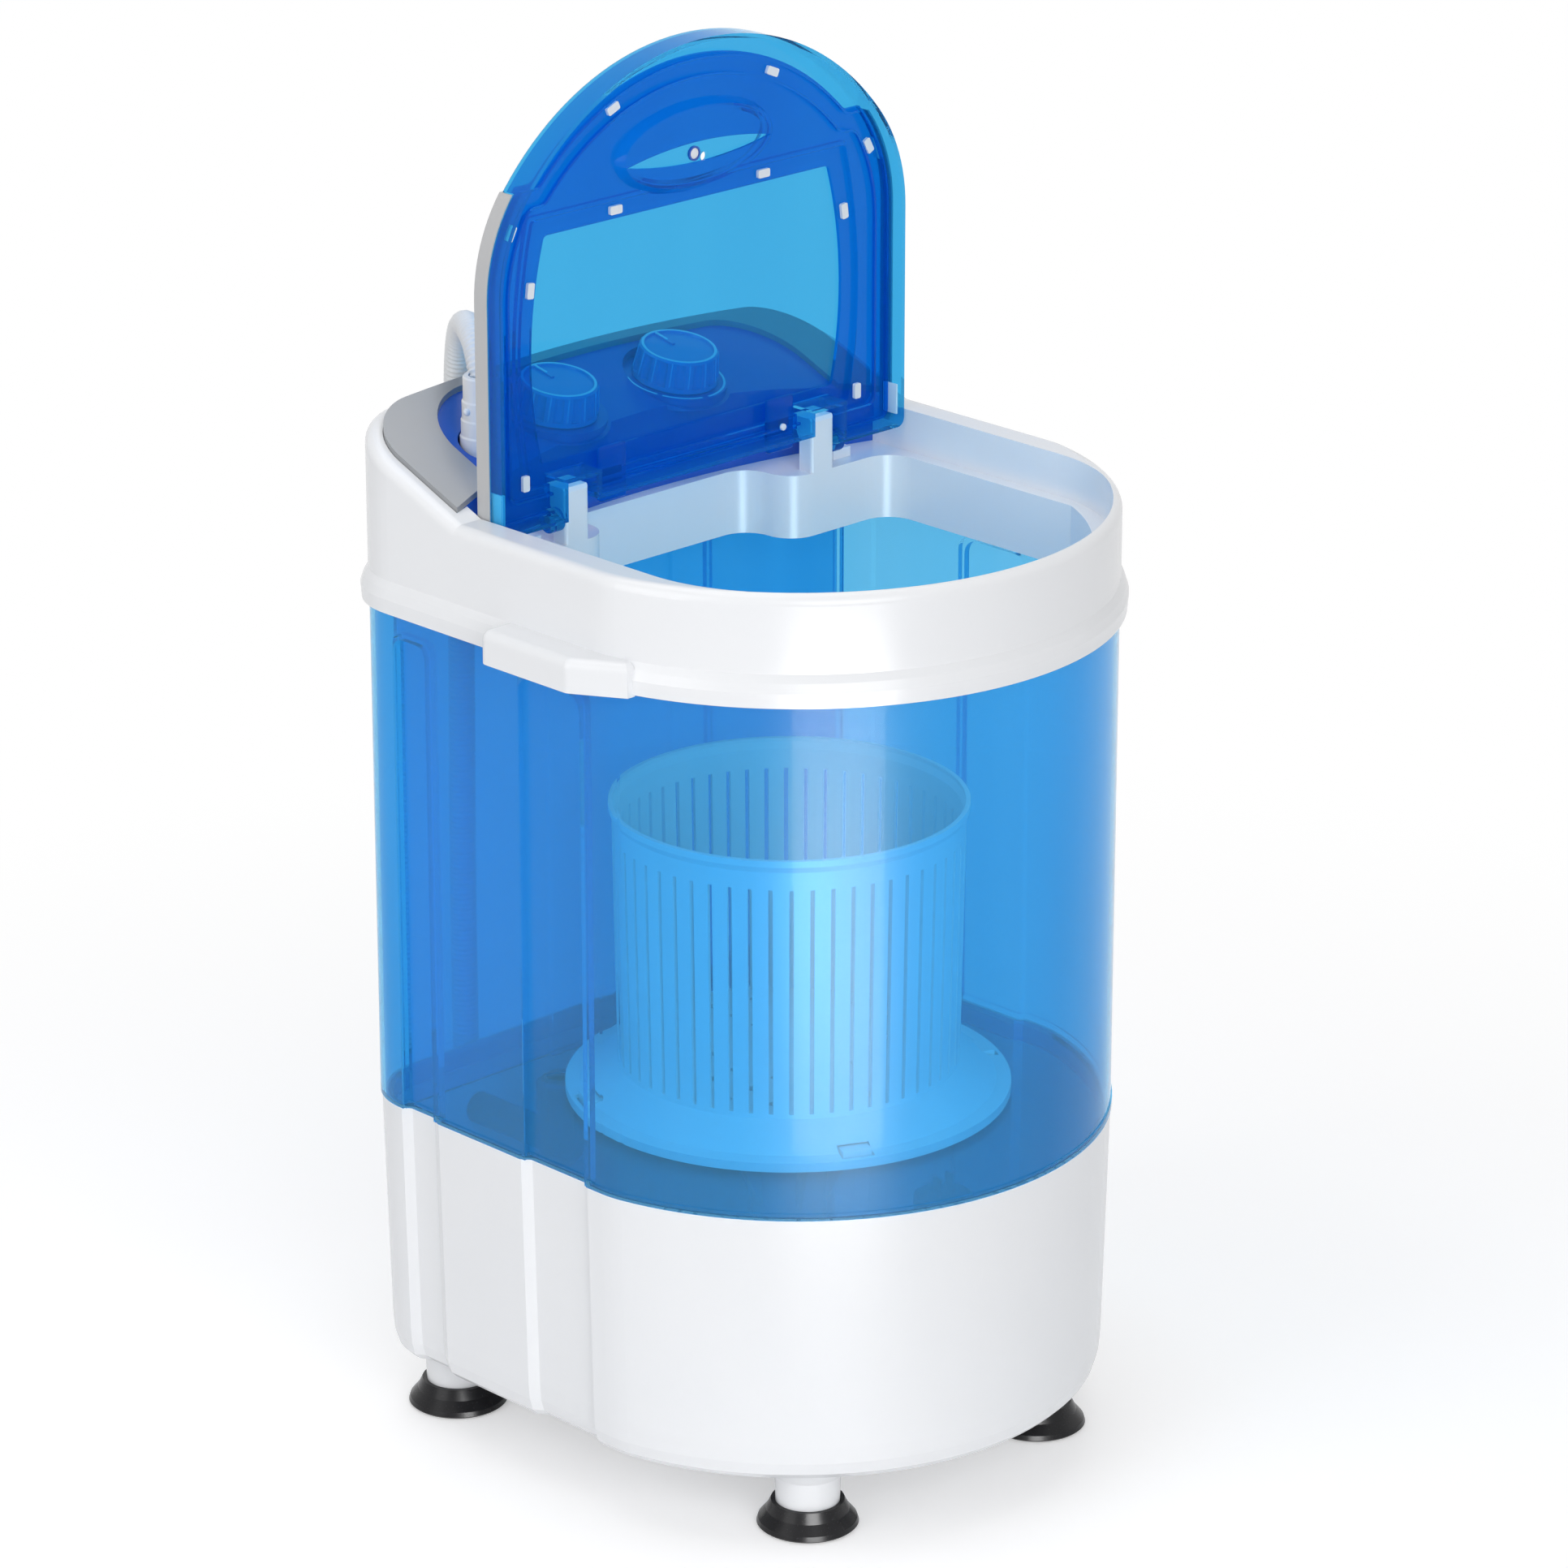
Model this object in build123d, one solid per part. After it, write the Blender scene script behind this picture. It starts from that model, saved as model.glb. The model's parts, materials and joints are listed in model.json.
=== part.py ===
from build123d import *
from math import cos, pi, radians, sin, sqrt, tan
import os

# Mini washing machine with a lift-out spin basket, standing on four rubber feet.
# X runs to the right as the user faces the machine, Y runs to the back, Z is up.
# The origin is on the floor; the lid stands open and the basket is in its place.

# Body plan: a round front, flat sides with stepped panels, a flat back.
FRONT_R = 170.0
ARC_Y = -3.0
SIDE_X = 167.3
REAR_Y = 177.0
CORNER_R = 44.0
SIDE_BLEND = 60.0
PANEL_X = 163.5
PANEL_Y = (-12.0, 35.0)
COLUMN_X = 163.0
COLUMN_Y = (106.0, 131.0)

# Heights of the main mouldings.
BASE_Z = 38.0
BASE_FLOOR = 41.0
TUB_Z = 192.0
FLOOR_TOP = 193.0
LIP_Z = 475.0
FRAME_WALL_Z = 487.0
RIM_Z = 534.0
LEDGE_Z = 510.5
LEDGE_T = 2.5
PANEL_TOP_Z = 464.0
WALL = 3.0
TUB_WALL = 2.6
PARTITION_Y = 130.0
PARTITION_T = 2.4
PARTITION_TOP = 480.0
RIB_X = 46.0
RIB_W = 30.0
RIB_OUT = 3.0
GRIP_X = 187.0

# Sloping deck behind the lid well.
DECK_Y = 80.0
DECK_SLOPE = 22.1
DECK_CROWN = 8.0
CROWN_R = 1500.0
DECK_WALL = 2.5
DECK_INSET = 9.0
BEZEL_T = 3.0
BEZEL_RIM = 1.8
BEZEL_DROP = 5.0
INSET_X = 127.0
INSET_BACK = 162.0
INSET_R = 38.0
RISER_Y = 111.0
RISER_R = 560.0

# Wavy opening of the top frame, and the skirt round it.
OPENING_X = (65.5, 141.0)
OPENING_Y = 104.0
OPENING_R = 155.0
OPENING_BEND = 17.0
SKIRT_T = 2.5

# Lid and its hinge. The lid is drawn closed and turned open for export.
LID_R = 164.0
LID_X = 147.5
LID_BLEND = 90.0
LID_DEPTH = 19.0
LID_WALL = 2.4
LID_TOP = 532.0
INNER_Z = 524.6
INNER_T = 2.0
HINGE_Y = 76.0
HINGE_Z = 524.0
HINGE_GAP = 1.0
WELL_GAP = 1.5
POST_X = (82.0, 98.5)
POST_Y = 70.0
POST_TOP = 541.0
LUG_X = (99.3, 106.3)
LUG_R = 6.5
SLOT_X = (79.5, 101.0)
SLOT_Y = 54.0
PIN_R = 2.5
RUN_GAP = 0.05
LID_RECESS = 9.0
CUP_Y = -108.0
DOME_R = 153.0
SHOULDER_Y = -107.0
LAND = 10.0
LAND_Z = 529.4
CUP_DEPTH = 9.0
CLIPS = [(57.4, -137.3, 23, 0), (53.5, -82, 0, 1), (114, -50, 83, 1), (121.5, 52, 90, 0), (129.3, -84, 62, 0)]

# Wash and spin drive.
SPIN_Y = 4.0
SHAFT_R = 6.0
SHAFT_Z = (54.0, 210.0)
BASKET_R = 93.0
BASKET_FLARE = 2.5
BASKET_TOP = 362.0
BASKET_SLOTS = 54
LOCK_TURN = -26.0
FLANGE_R = 121.0
LOCK_COUNT = 4
PULSATOR_R = 117.0
SEAL_R = 15.0
SCREW_RING_R = 48.0
MOTOR_Y = 95.0
MOTOR_R = 48.0
MOTOR_Z = (85.0, 165.0)
ROTOR_R = 4.0
DRIVE_PITCH_R = 56.0
MOTOR_PITCH_R = 14.0
BELT_Z = 70.0

# Knobs on the deck, and the cases under them.
KNOB_X = (-52.0, 36.0)
KNOB_Y = 130.0
KNOB_R = 22.5
KNOB_H = 18.0
SEAT_TILT = 12.0
SEAT_R = 29.0
SEAT_T = 6.0
KNOB_FLUTES = 14
SPINDLE_R = 3.0
CASE_H = 22.0

# Water inlet and its hose.
INLET = (-107.0, 124.0)
CUFF_TOP = 594.0
HOSE_R = 7.5
HOSE_BORE = 5.6
HOSE_END = 15.0
HOSE_RIBS = 150
RIB_DEPTH = 1.0
HOSE_ROUTE = [
    (-107.0, 124.0, 570.0),
    (-107.0, 124.0, 609.0),
    (-66.0, 193.0, 609.0),
    (-63.0, 194.5, 450.0),
    (-68.0, 193.5, 235.0),
    (-62.0, 196.0, 10.0),
    (134.0, 200.0, 14.0),
]
DRAIN = (-75.0, 105.0)
DRAIN_PIPE_Z = 152.0

# Fittings inside the base and in its back wall.
CAPACITOR = (105.0, -12.0)
GLAND = (105.0, 100.0)

# Feet and fasteners.
FEET = [(-88.0, -101.0), (88.0, -101.0), (-121.0, 143.0), (121.0, 143.0)]
STUB_R = 17.2
STUB_Z = 12.0
FOOT_R = 27.5
COVER_SCREWS = [(side * 82.0, y) for side in (-1, 1) for y in (-40.0, 40.0, 120.0)]
FRAME_SCREW_X = (-100.0, 0.0, 100.0)
FRAME_SCREW_Z = 481.0

UP = (Align.CENTER, Align.CENTER, Align.MIN)


def rod(radius, z0, z1, x=0.0, y=0.0):
    """Upright cylinder between two heights."""
    return Pos(x, y, z0) * Cylinder(radius, z1 - z0, align=UP)


def turned(points):
    """Solid of revolution round the Z axis from radius and height pairs."""
    return revolve(Plane.XZ * make_face(Polyline(*points, close=True).edges()), Axis.Z)


def screw(head_r, head_h, shank_r, length):
    """Pan-head screw pointing up, the underside of its head at zero height."""
    body = rod(head_r, -head_h, 0) + rod(shank_r, 0, length)
    body = chamfer(body.edges().sort_by(Axis.Z)[0], head_h * 0.35)
    slot = Box(head_r * 1.1, 0.8, 1.2) + Box(0.8, head_r * 1.1, 1.2)
    return body - Pos(0, 0, -head_h) * slot


def bracket_screw_places():
    return [(side * 102.0, MOTOR_Y - 8 + dy) for side in (-1, 1) for dy in (-15, 15)]


def screw_ring():
    return [
        (SCREW_RING_R * cos(radians(a)), SPIN_Y + SCREW_RING_R * sin(radians(a)))
        for a in range(30, 390, 60)
    ]


def mirror_x(solid):
    return solid.mirror(Plane.YZ)


def both_sides(solid):
    return solid + mirror_x(solid)


def ring_face(points_right, z, grow, corner_r):
    """Closed face from the front arc, a right side run, corner arcs and their mirror image."""
    rear_y = REAR_Y + grow
    right = [Vector(x, y, z) for x, y in points_right]
    left = [Vector(-x, y, z) for x, y in points_right]
    edges = [ThreePointArc(left[0], Vector(0, ARC_Y - FRONT_R - grow, z), right[0])]
    for a, b in zip(right, right[1:]):
        edges.append(Line(a, b))
    corner = right[-1]
    centre_x = corner.X - corner_r
    mid = Vector(centre_x + corner_r * cos(pi / 4), corner.Y + corner_r * sin(pi / 4), z)
    end = Vector(centre_x, rear_y, z)
    edges.append(ThreePointArc(corner, mid, end))
    edges.append(Line(end, Vector(-end.X, rear_y, z)))
    edges.append(ThreePointArc(Vector(-end.X, rear_y, z), Vector(-mid.X, mid.Y, z), left[-1]))
    for a, b in zip(reversed(left), list(reversed(left))[1:]):
        edges.append(Line(a, b))
    face = Face(Wire([e.edge() for e in edges]))
    soft = [v for v in face.vertices() if abs(v.Y - points_right[0][1]) < 0.01]
    return fillet(soft, SIDE_BLEND)


def side_start(grow):
    """Y where the front arc of a given growth reaches the side plane."""
    return ARC_Y - sqrt((FRONT_R + grow) ** 2 - (SIDE_X + grow) ** 2)


def plain_outline(z, grow=0.0):
    x = SIDE_X + grow
    points = [(x, side_start(grow)), (x, REAR_Y - CORNER_R)]
    return ring_face(points, z, grow, CORNER_R + grow)


def stepped_outline(z, grow=0.0):
    side, panel, column = SIDE_X + grow, PANEL_X + grow, COLUMN_X + grow
    points = [
        (side, side_start(grow)),
        (side, PANEL_Y[0] - 4),
        (panel, PANEL_Y[0]),
        (panel, PANEL_Y[1] - 4),
        (side, PANEL_Y[1] + 1),
        (side, COLUMN_Y[0] - 4),
        (column, COLUMN_Y[0] + 4),
        (column, COLUMN_Y[1] - 3),
        (side - 0.8, REAR_Y - CORNER_R),
    ]
    return ring_face(points, z, grow, CORNER_R + grow - 0.8)


def on_outline(edge, tolerance=1.5):
    """True for an edge that runs along the outer wall of the top frame."""
    c = edge.position_at(0.5)
    if c.Y < ARC_Y - 20:
        return abs(sqrt(c.X**2 + (c.Y - ARC_Y) ** 2) - FRONT_R) < tolerance
    if c.Y > REAR_Y - CORNER_R:
        dx = max(abs(c.X) - (SIDE_X - CORNER_R), 0)
        return sqrt(dx**2 + (c.Y - REAR_Y + CORNER_R) ** 2) > CORNER_R - tolerance
    return abs(abs(c.X) - SIDE_X) < tolerance


def stack(outline, levels):
    return loft([outline(z, grow) for z, grow in levels], ruled=True)


def prism(outline, z0, z1, grow=0.0):
    return extrude(outline(z0, grow), amount=z1 - z0, dir=(0, 0, 1))


def deck_plane(offset=0.0):
    """Plane across the slope at the deck's front, with its Y axis square to the deck surface."""
    tilt = radians(DECK_SLOPE)
    up = Vector(0, -sin(tilt), cos(tilt))
    return Plane(Vector(0, DECK_Y, RIM_Z) + up * offset, x_dir=(1, 0, 0), z_dir=(0, -cos(tilt), -sin(tilt)))


def under_deck(offset=0.0):
    """Everything under the crowned, sloping deck surface, moved up by an offset."""
    half, low = 200.0, -110.0
    drop = DECK_CROWN - half * half / (2 * CROWN_R)
    arc = ThreePointArc((-half, drop), (0, DECK_CROWN), (half, drop)).edge()
    rest = Polyline((half, drop), (half, low), (-half, low), (-half, drop))
    plane = deck_plane(offset)
    face = Face(Wire([plane * e for e in [arc] + list(rest.edges())]))
    back = Vector(0, cos(radians(DECK_SLOPE)), sin(radians(DECK_SLOPE)))
    return extrude(face, amount=200, dir=tuple(back)) + extrude(face, amount=90, dir=tuple(-back))


def behind_riser(gap=0.0):
    """The space behind the curved front of the deck."""
    block = Pos(0, 0, 400) * Box(500, 400, 300, align=(Align.CENTER, Align.MIN, Align.MIN))
    disc = Cylinder(RISER_R + gap, 300, align=(Align.CENTER, Align.CENTER, Align.MIN))
    return block - Pos(0, RISER_Y - RISER_R, 400) * disc


def wedge_roof():
    """Space under the frame's top: flat over the lid well, then rising with the deck."""
    side = Polyline(
        (-300, 400),
        (-300, RIM_Z),
        (DECK_Y, RIM_Z),
        (DECK_Y + 200, RIM_Z + 200 * tan(radians(DECK_SLOPE))),
        (DECK_Y + 200, 400),
        (-300, 400),
    )
    face = make_face(side.edges())
    return extrude(Plane.YZ * face, amount=300, both=True)


def lid_outline(grow=0.0, rear=0.0):
    """Plan of the closed lid: round front, straight sides, straight rear edge by the hinge."""
    rear_y = HINGE_Y - HINGE_GAP + rear
    disc = Pos(0, ARC_Y) * Circle(LID_R + grow)
    strip = Pos(0, (rear_y - 300) / 2) * Rectangle(2 * (LID_X + grow), rear_y + 300)
    straight = Pos(0, rear_y / 2 - 10) * Rectangle(2 * (LID_X + grow), rear_y + 20)
    face = (disc & strip) + straight
    soft = [v for v in face.vertices() if v.Y < 0]
    face = fillet(soft, LID_BLEND)
    back = [v for v in face.vertices() if v.Y > rear_y - 0.01]
    return fillet(back, 5)


def opening_outline(grow=0.0):
    """Wavy opening of the top frame: round front, stepped forward at both hinge posts."""
    x_wave, x_side = OPENING_X[0] + grow, OPENING_X[1] + grow
    y_mid, y_post = OPENING_Y + grow, POST_Y + grow
    inward, outward, radius = OPENING_BEND - grow, OPENING_BEND + grow, OPENING_R + grow
    y_start = ARC_Y - sqrt(radius**2 - x_side**2)
    y_wave = y_mid - outward
    edges = [
        Line((x_side, y_start), (x_side, y_post - outward)).edge(),
        RadiusArc((x_side, y_post - outward), (x_side - outward, y_post), -outward).edge(),
        Line((x_side - outward, y_post), (x_wave + inward, y_post)).edge(),
        RadiusArc((x_wave + inward, y_post), (x_wave, y_wave), inward).edge(),
        RadiusArc((x_wave, y_wave), (x_wave - outward, y_mid), -outward).edge(),
    ]
    mirrored = [e.mirror(Plane.YZ) for e in edges]
    back = Line((x_wave - outward, y_mid), (outward - x_wave, y_mid)).edge()
    front = ThreePointArc((-x_side, y_start), (0, ARC_Y - radius), (x_side, y_start)).edge()
    return Face(Wire(edges + [back] + mirrored + [front]))


def base_housing():
    """White base: stepped side walls, rounded bottom edge, foot stubs, inner bosses."""
    outer_levels = [(BASE_Z, -14), (39.5, -9.5), (43, -6), (50, -3.9), (60, -3.2), (TUB_Z, 0)]
    inner_levels = [(BASE_FLOOR, -12), (45, -8.4), (51, -6.8), (61, -6.2), (TUB_Z, -WALL)]
    outer = stack(stepped_outline, outer_levels)
    inner = stack(stepped_outline, inner_levels)
    shell = outer - inner
    for x, y in FEET:
        stub = Pos(x, y, STUB_Z) * Cone(STUB_R, STUB_R + 1.2, BASE_Z - STUB_Z, align=UP)
        collar = Pos(x, y, BASE_Z - 8) * Cone(STUB_R + 1.5, STUB_R + 6, 10.5, align=UP)
        shell = shell + stub + collar
        shell = shell - rod(2.1, 0, 30, x, y)
    service = Pos(0, 40, BASE_Z - 1) * extrude(RectangleRounded(150, 176, 16), amount=WALL + 4)
    shell = shell - service
    for x, y in COVER_SCREWS:
        shell = shell + rod(6, BASE_FLOOR - 1, BASE_FLOOR + 12, x, y)
        shell = shell - rod(1.7, BASE_Z - 1, BASE_Z + 11, x, y)
    for x, y in bracket_screw_places():
        shell = shell - rod(1.9, BASE_Z - 1, BASE_Z + 5, x, y)
    shell = shell - Pos(DRAIN[0], REAR_Y, DRAIN_PIPE_Z) * Rot(90, 0, 0) * Cylinder(9.3, 20)
    return shell - Pos(GLAND[0], REAR_Y, GLAND[1]) * Rot(90, 0, 0) * Cylinder(7, 20)


def base_cover():
    """Screwed bottom cover with cooling slots, under the service opening."""
    plate = Pos(0, 40, BASE_Z - 2.5) * extrude(RectangleRounded(180, 200, 20), amount=2.4)
    for i in range(9):
        slot = Pos(0, -30 + i * 15, BASE_Z - 4) * extrude(SlotOverall(90, 5), amount=8)
        plate = plate - slot
    for x, y in COVER_SCREWS:
        plate = plate - rod(2.1, BASE_Z - 4, BASE_Z + 1, x, y)
    return plate


def side_recess(x0, y0, y1, z0, z1, radius):
    """Panel pressed into both sides of the tub wall, with rounded top corners."""
    face = Pos((y0 + y1) / 2, (z0 + z1) / 2) * RectangleRounded(y1 - y0, z1 - z0, radius)
    plane = Plane(origin=(x0, 0, 0), x_dir=(0, 1, 0), z_dir=(1, 0, 0))
    return both_sides(extrude(plane * face, amount=20))


def tub_shell():
    """Blue tub: outer wall, floor, skirt inside the base, back partition and drain channel."""
    outer = prism(plain_outline, TUB_Z, FRAME_WALL_Z - 1)
    band = prism(stepped_outline, TUB_Z, TUB_Z + 4, 0.7)
    skirt = prism(stepped_outline, TUB_Z - 12, TUB_Z, -WALL - 0.4)
    low, high = TUB_Z - 40, PANEL_TOP_Z
    recesses = side_recess(PANEL_X, PANEL_Y[0] - 2, PANEL_Y[1] - 2, low, high, 9)
    recesses += side_recess(COLUMN_X, COLUMN_Y[0], COLUMN_Y[1], low, high - 3, 7)
    bumps = side_recess(PANEL_X - TUB_WALL, PANEL_Y[0] - 4.6, PANEL_Y[1] + 0.6, low, high + 2.6, 9)
    bumps += side_recess(COLUMN_X - TUB_WALL, COLUMN_Y[0] - 2.6, COLUMN_Y[1] + 2.6, low, high - 0.4, 7)
    cavity = prism(plain_outline, FLOOR_TOP, 520, -TUB_WALL) - bumps
    under = prism(stepped_outline, TUB_Z - 20, TUB_Z - 2, -WALL - 0.4 - TUB_WALL)
    shell = (outer - recesses) + band + skirt - cavity - under
    place = Pos(0, PARTITION_Y + PARTITION_T / 2, FLOOR_TOP - 1)
    shell = shell + place * Box(2 * SIDE_X - 3, PARTITION_T, PARTITION_TOP - FLOOR_TOP + 1, align=UP)
    for x in (-RIB_X, RIB_X):
        height = PARTITION_TOP - 10 - FLOOR_TOP
        rib = Pos(x, PARTITION_Y - RIB_OUT / 2 + 0.3, FLOOR_TOP) * Box(RIB_W, RIB_OUT + 0.6, height, align=UP)
        hollow = Pos(x, PARTITION_Y + RIB_OUT / 2, FLOOR_TOP - 0.5)
        shell = shell + rib - hollow * Box(RIB_W - 2 * PARTITION_T, RIB_OUT + 1.6, height - 3, align=UP)
    shell = shell - rod(SEAL_R, TUB_Z - 20, TUB_Z + 20, 0, SPIN_Y)
    for x, y in screw_ring():
        shell = shell + rod(5.5, TUB_Z - 12, TUB_Z - 1.5, x, y) - rod(1.6, TUB_Z - 13, TUB_Z - 2, x, y)
    for x in FRAME_SCREW_X:
        shell = shell - Pos(x, REAR_Y, FRAME_SCREW_Z) * Rot(90, 0, 0) * Cylinder(1.6, 10)
    return shell + rod(11, TUB_Z - 16, TUB_Z, *DRAIN) - rod(8.5, TUB_Z - 17, TUB_Z + 13, *DRAIN)


def deck_outline(z, grow=0.0):
    return plain_outline(z, grow - DECK_INSET)


def hook_post():
    """Right hinge post with its backward nose, standing on the ledge beside the opening."""
    side = Polyline(
        (POST_Y, LEDGE_Z - 4),
        (POST_Y, POST_TOP - 2),
        (POST_Y + 2, POST_TOP),
        (POST_Y + 16, POST_TOP),
        (POST_Y + 18.5, POST_TOP - 3.5),
        (POST_Y + 12, POST_TOP - 10),
        (POST_Y + 10, POST_TOP - 14),
        (POST_Y + 10, LEDGE_Z - 4),
        (POST_Y, LEDGE_Z - 4),
    )
    post = extrude(Plane.YZ.offset(POST_X[0]) * make_face(side.edges()), amount=POST_X[1] - POST_X[0])
    post = fillet(post.edges().filter_by(Axis.Z).filter_by(lambda e: e.center().Y < POST_Y + 1), 2)
    stop = Pos(114, POST_Y + 13, LEDGE_Z - 1) * Box(13, 7, 6.5, align=(Align.CENTER, Align.CENTER, Align.MIN))
    return post + stop


def hinge_pin(end):
    """Right hinge pin, pressed into the post and carrying the lid's lug."""
    start = POST_X[0] + 8
    pin = Cylinder(PIN_R, end - start, align=UP)
    return Pos(start, HINGE_Y, HINGE_Z) * Rot(0, 90, 0) * pin


def hand_grip(grow, z0, z1):
    """Right hand grip in plan, square at the back and tapering into the lip at the front."""
    out = GRIP_X + grow
    outline = Polyline(
        (SIDE_X - 2, 41 + grow),
        (out, 41 + grow),
        (out, -26),
        (SIDE_X + 3, -54 - grow),
        (SIDE_X - 2, -54 - grow),
        (SIDE_X - 2, 41 + grow),
    )
    face = make_face(outline.edges())
    face = fillet([v for v in face.vertices() if v.X > out - 1], 6)
    return extrude(Pos(0, 0, z0) * face, amount=z1 - z0)


def top_frame():
    """White frame: lip, rim, lid well, wavy opening with skirt, hook posts, hand grips, deck wall."""
    lip = stack(plain_outline, [(LIP_Z, 4.0), (483, 4.6), (488, 2.9), (492, 0.4)])
    grip = hand_grip(0, LIP_Z - 1, 492)
    grip = fillet(grip.faces().sort_by(Axis.Z)[-1].edges().filter_by(lambda e: e.center().X > SIDE_X), 5)
    lip = lip + both_sides(grip) - both_sides(hand_grip(-2.6, LIP_Z - 2, 487))
    lip = lip - prism(plain_outline, LIP_Z - 5, FRAME_WALL_Z, 0.5)
    wall = prism(plain_outline, FRAME_WALL_Z, 640, 0.4) & wedge_roof()
    wall = fillet([e for e in wall.edges() if e.center().Z > RIM_Z - 1 and on_outline(e)], 6)
    frame = wall + lip
    well = extrude(Pos(0, 0, LEDGE_Z) * lid_outline(WELL_GAP, 60), amount=200) - behind_riser()
    deck_room = prism(deck_outline, LEDGE_Z, 640) & behind_riser()
    frame = frame - well - deck_room
    skirt_in = extrude(Pos(0, 0, LIP_Z) * opening_outline(), amount=200)
    skirt_out = extrude(Pos(0, 0, LIP_Z) * opening_outline(SKIRT_T), amount=LEDGE_Z - LIP_Z)
    room = prism(plain_outline, LIP_Z - 1, LEDGE_Z - LEDGE_T, -TUB_WALL - 0.4)
    frame = frame - room + (skirt_out & room) - skirt_in
    frame = frame + both_sides(hook_post())
    frame = frame - rod(11.6, LIP_Z, LEDGE_Z + 1, *INLET) - rod(9, LIP_Z, LEDGE_Z + 1, 120, 150)
    for x in FRAME_SCREW_X:
        hole = Pos(x, REAR_Y + 4, FRAME_SCREW_Z) * Rot(90, 0, 0)
        frame = frame - hole * Cylinder(1.7, 20) - hole * Cylinder(4.3, 5.4)
    return frame - both_sides(hinge_pin(POST_X[1] + 1))


def deck_height(x, y, offset=0.0):
    """Height of the crowned deck surface at a place in plan."""
    tilt = radians(DECK_SLOPE)
    rise = (DECK_CROWN - x * x / (2 * CROWN_R) + offset) / cos(tilt)
    return RIM_Z + (y - DECK_Y) * tan(tilt) + rise


def on_seat(x, offset=0.0):
    """Place on the round seat of a knob, which slopes less than the deck does."""
    tilt = radians(SEAT_TILT)
    z = deck_height(x, KNOB_Y)
    return Pos(x, KNOB_Y - offset * sin(tilt), z + offset * cos(tilt)) * Rot(SEAT_TILT, 0, 0)


def control_deck():
    """Blue deck under the bezel: sloping crowned top, curved riser, holes for inlet and spindles."""
    body = prism(deck_outline, LEDGE_Z, 640, -BEZEL_RIM - 0.4) & behind_riser(0.2) & under_deck()
    hollow = prism(deck_outline, LEDGE_Z - 1, 640, -BEZEL_RIM - 0.4 - DECK_WALL)
    hollow = hollow & behind_riser(0.2 + DECK_WALL) & under_deck(-DECK_WALL)
    deck = body - hollow
    for x in KNOB_X:
        collar = (on_seat(x) * rod(SEAT_R + 2, -SEAT_T, 12)) & under_deck()
        deck = deck + collar + on_seat(x) * rod(SEAT_R, -SEAT_T, 0)
        deck = deck - on_seat(x) * rod(SEAT_R, 0, 40) - on_seat(x) * rod(5.4, -20, 1)
    return deck - rod(14, LEDGE_Z + 10, 620, *INLET)


def inset_face():
    """Opening of the bezel, open to the front, with round corners at the back."""
    back = Pos(0, INSET_BACK - 60) * RectangleRounded(2 * INSET_X, 120, INSET_R)
    return back + Pos(0, INSET_BACK - 110) * Rectangle(2 * INSET_X, 130)


def panel_bezel():
    """Grey bezel: two wings and a thin back strip on the crowned deck, with a turned-down rim."""
    area = prism(deck_outline, LEDGE_Z, 660, -0.3) & behind_riser()
    top = area & (under_deck(BEZEL_T) - under_deck())
    rim = area - prism(deck_outline, LEDGE_Z - 1, 661, -BEZEL_RIM)
    rim = rim & (under_deck(1) - under_deck(-BEZEL_DROP))
    return top + rim - extrude(Pos(0, 0, 500) * inset_face(), amount=160)


def knob(index):
    """Fluted knob with a raised rim round its top, a pointer bar and a sleeve for the spindle."""
    top = KNOB_H
    body = turned([
        (0, 4),
        (KNOB_R - 2.4, 4),
        (KNOB_R - 2.4, 0.6),
        (KNOB_R + 1.2, 0.6),
        (KNOB_R + 0.9, 3),
        (KNOB_R - 1, top - 1),
        (KNOB_R - 2, top),
        (KNOB_R - 3.4, top),
        (KNOB_R - 4, top - 1.2),
        (0, top - 1.2),
    ])
    flute = Pos(KNOB_R + 2.1, 0, 3) * Rot(0, -4, 0) * Cylinder(3.2, top - 4.5, align=UP)
    for i in range(KNOB_FLUTES):
        body = body - Rot(0, 0, i * 360 / KNOB_FLUTES) * flute
    bar = Pos(0, KNOB_R / 2 + 1, top - 1.2) * Box(2.2, KNOB_R - 7, 2.0)
    body = body + bar + rod(4.9, -0.6, 5) - rod(SPINDLE_R, -2, 12)
    return on_seat(KNOB_X[index]) * body


def spindle(index):
    """Timer or switch spindle that the knob is pressed on."""
    return on_seat(KNOB_X[index]) * rod(SPINDLE_R, 4 - SEAT_T - CASE_H, 11)


def switch_case(index, width, depth):
    """Case of a timer or switch, fastened under the deck, with its row of terminals below."""
    body = extrude(RectangleRounded(width, depth, 3), amount=-CASE_H)
    body = fillet(body.faces().sort_by(Axis.Z)[0].edges(), 1)
    for i in range(-2, 3):
        body = body + Pos(i * width / 6, 0, -CASE_H - 3) * Box(0.8, 6.3, 7)
    body = body - rod(SPINDLE_R + RUN_GAP, 3.5 - CASE_H, 1)
    return on_seat(KNOB_X[index], -SEAT_T) * body


def inlet_socket():
    """Socket under the deck that leads the water from the hose cuff into the tub."""
    body = turned([
        (7.6, 500),
        (11.4, 500),
        (11.4, LEDGE_Z),
        (17, LEDGE_Z),
        (17, LEDGE_Z + 2.5),
        (11.4, LEDGE_Z + 4),
        (11.4, 536),
        (13, 539),
        (13, 545),
        (7.6, 545),
    ])
    return Pos(*INLET) * body


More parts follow.
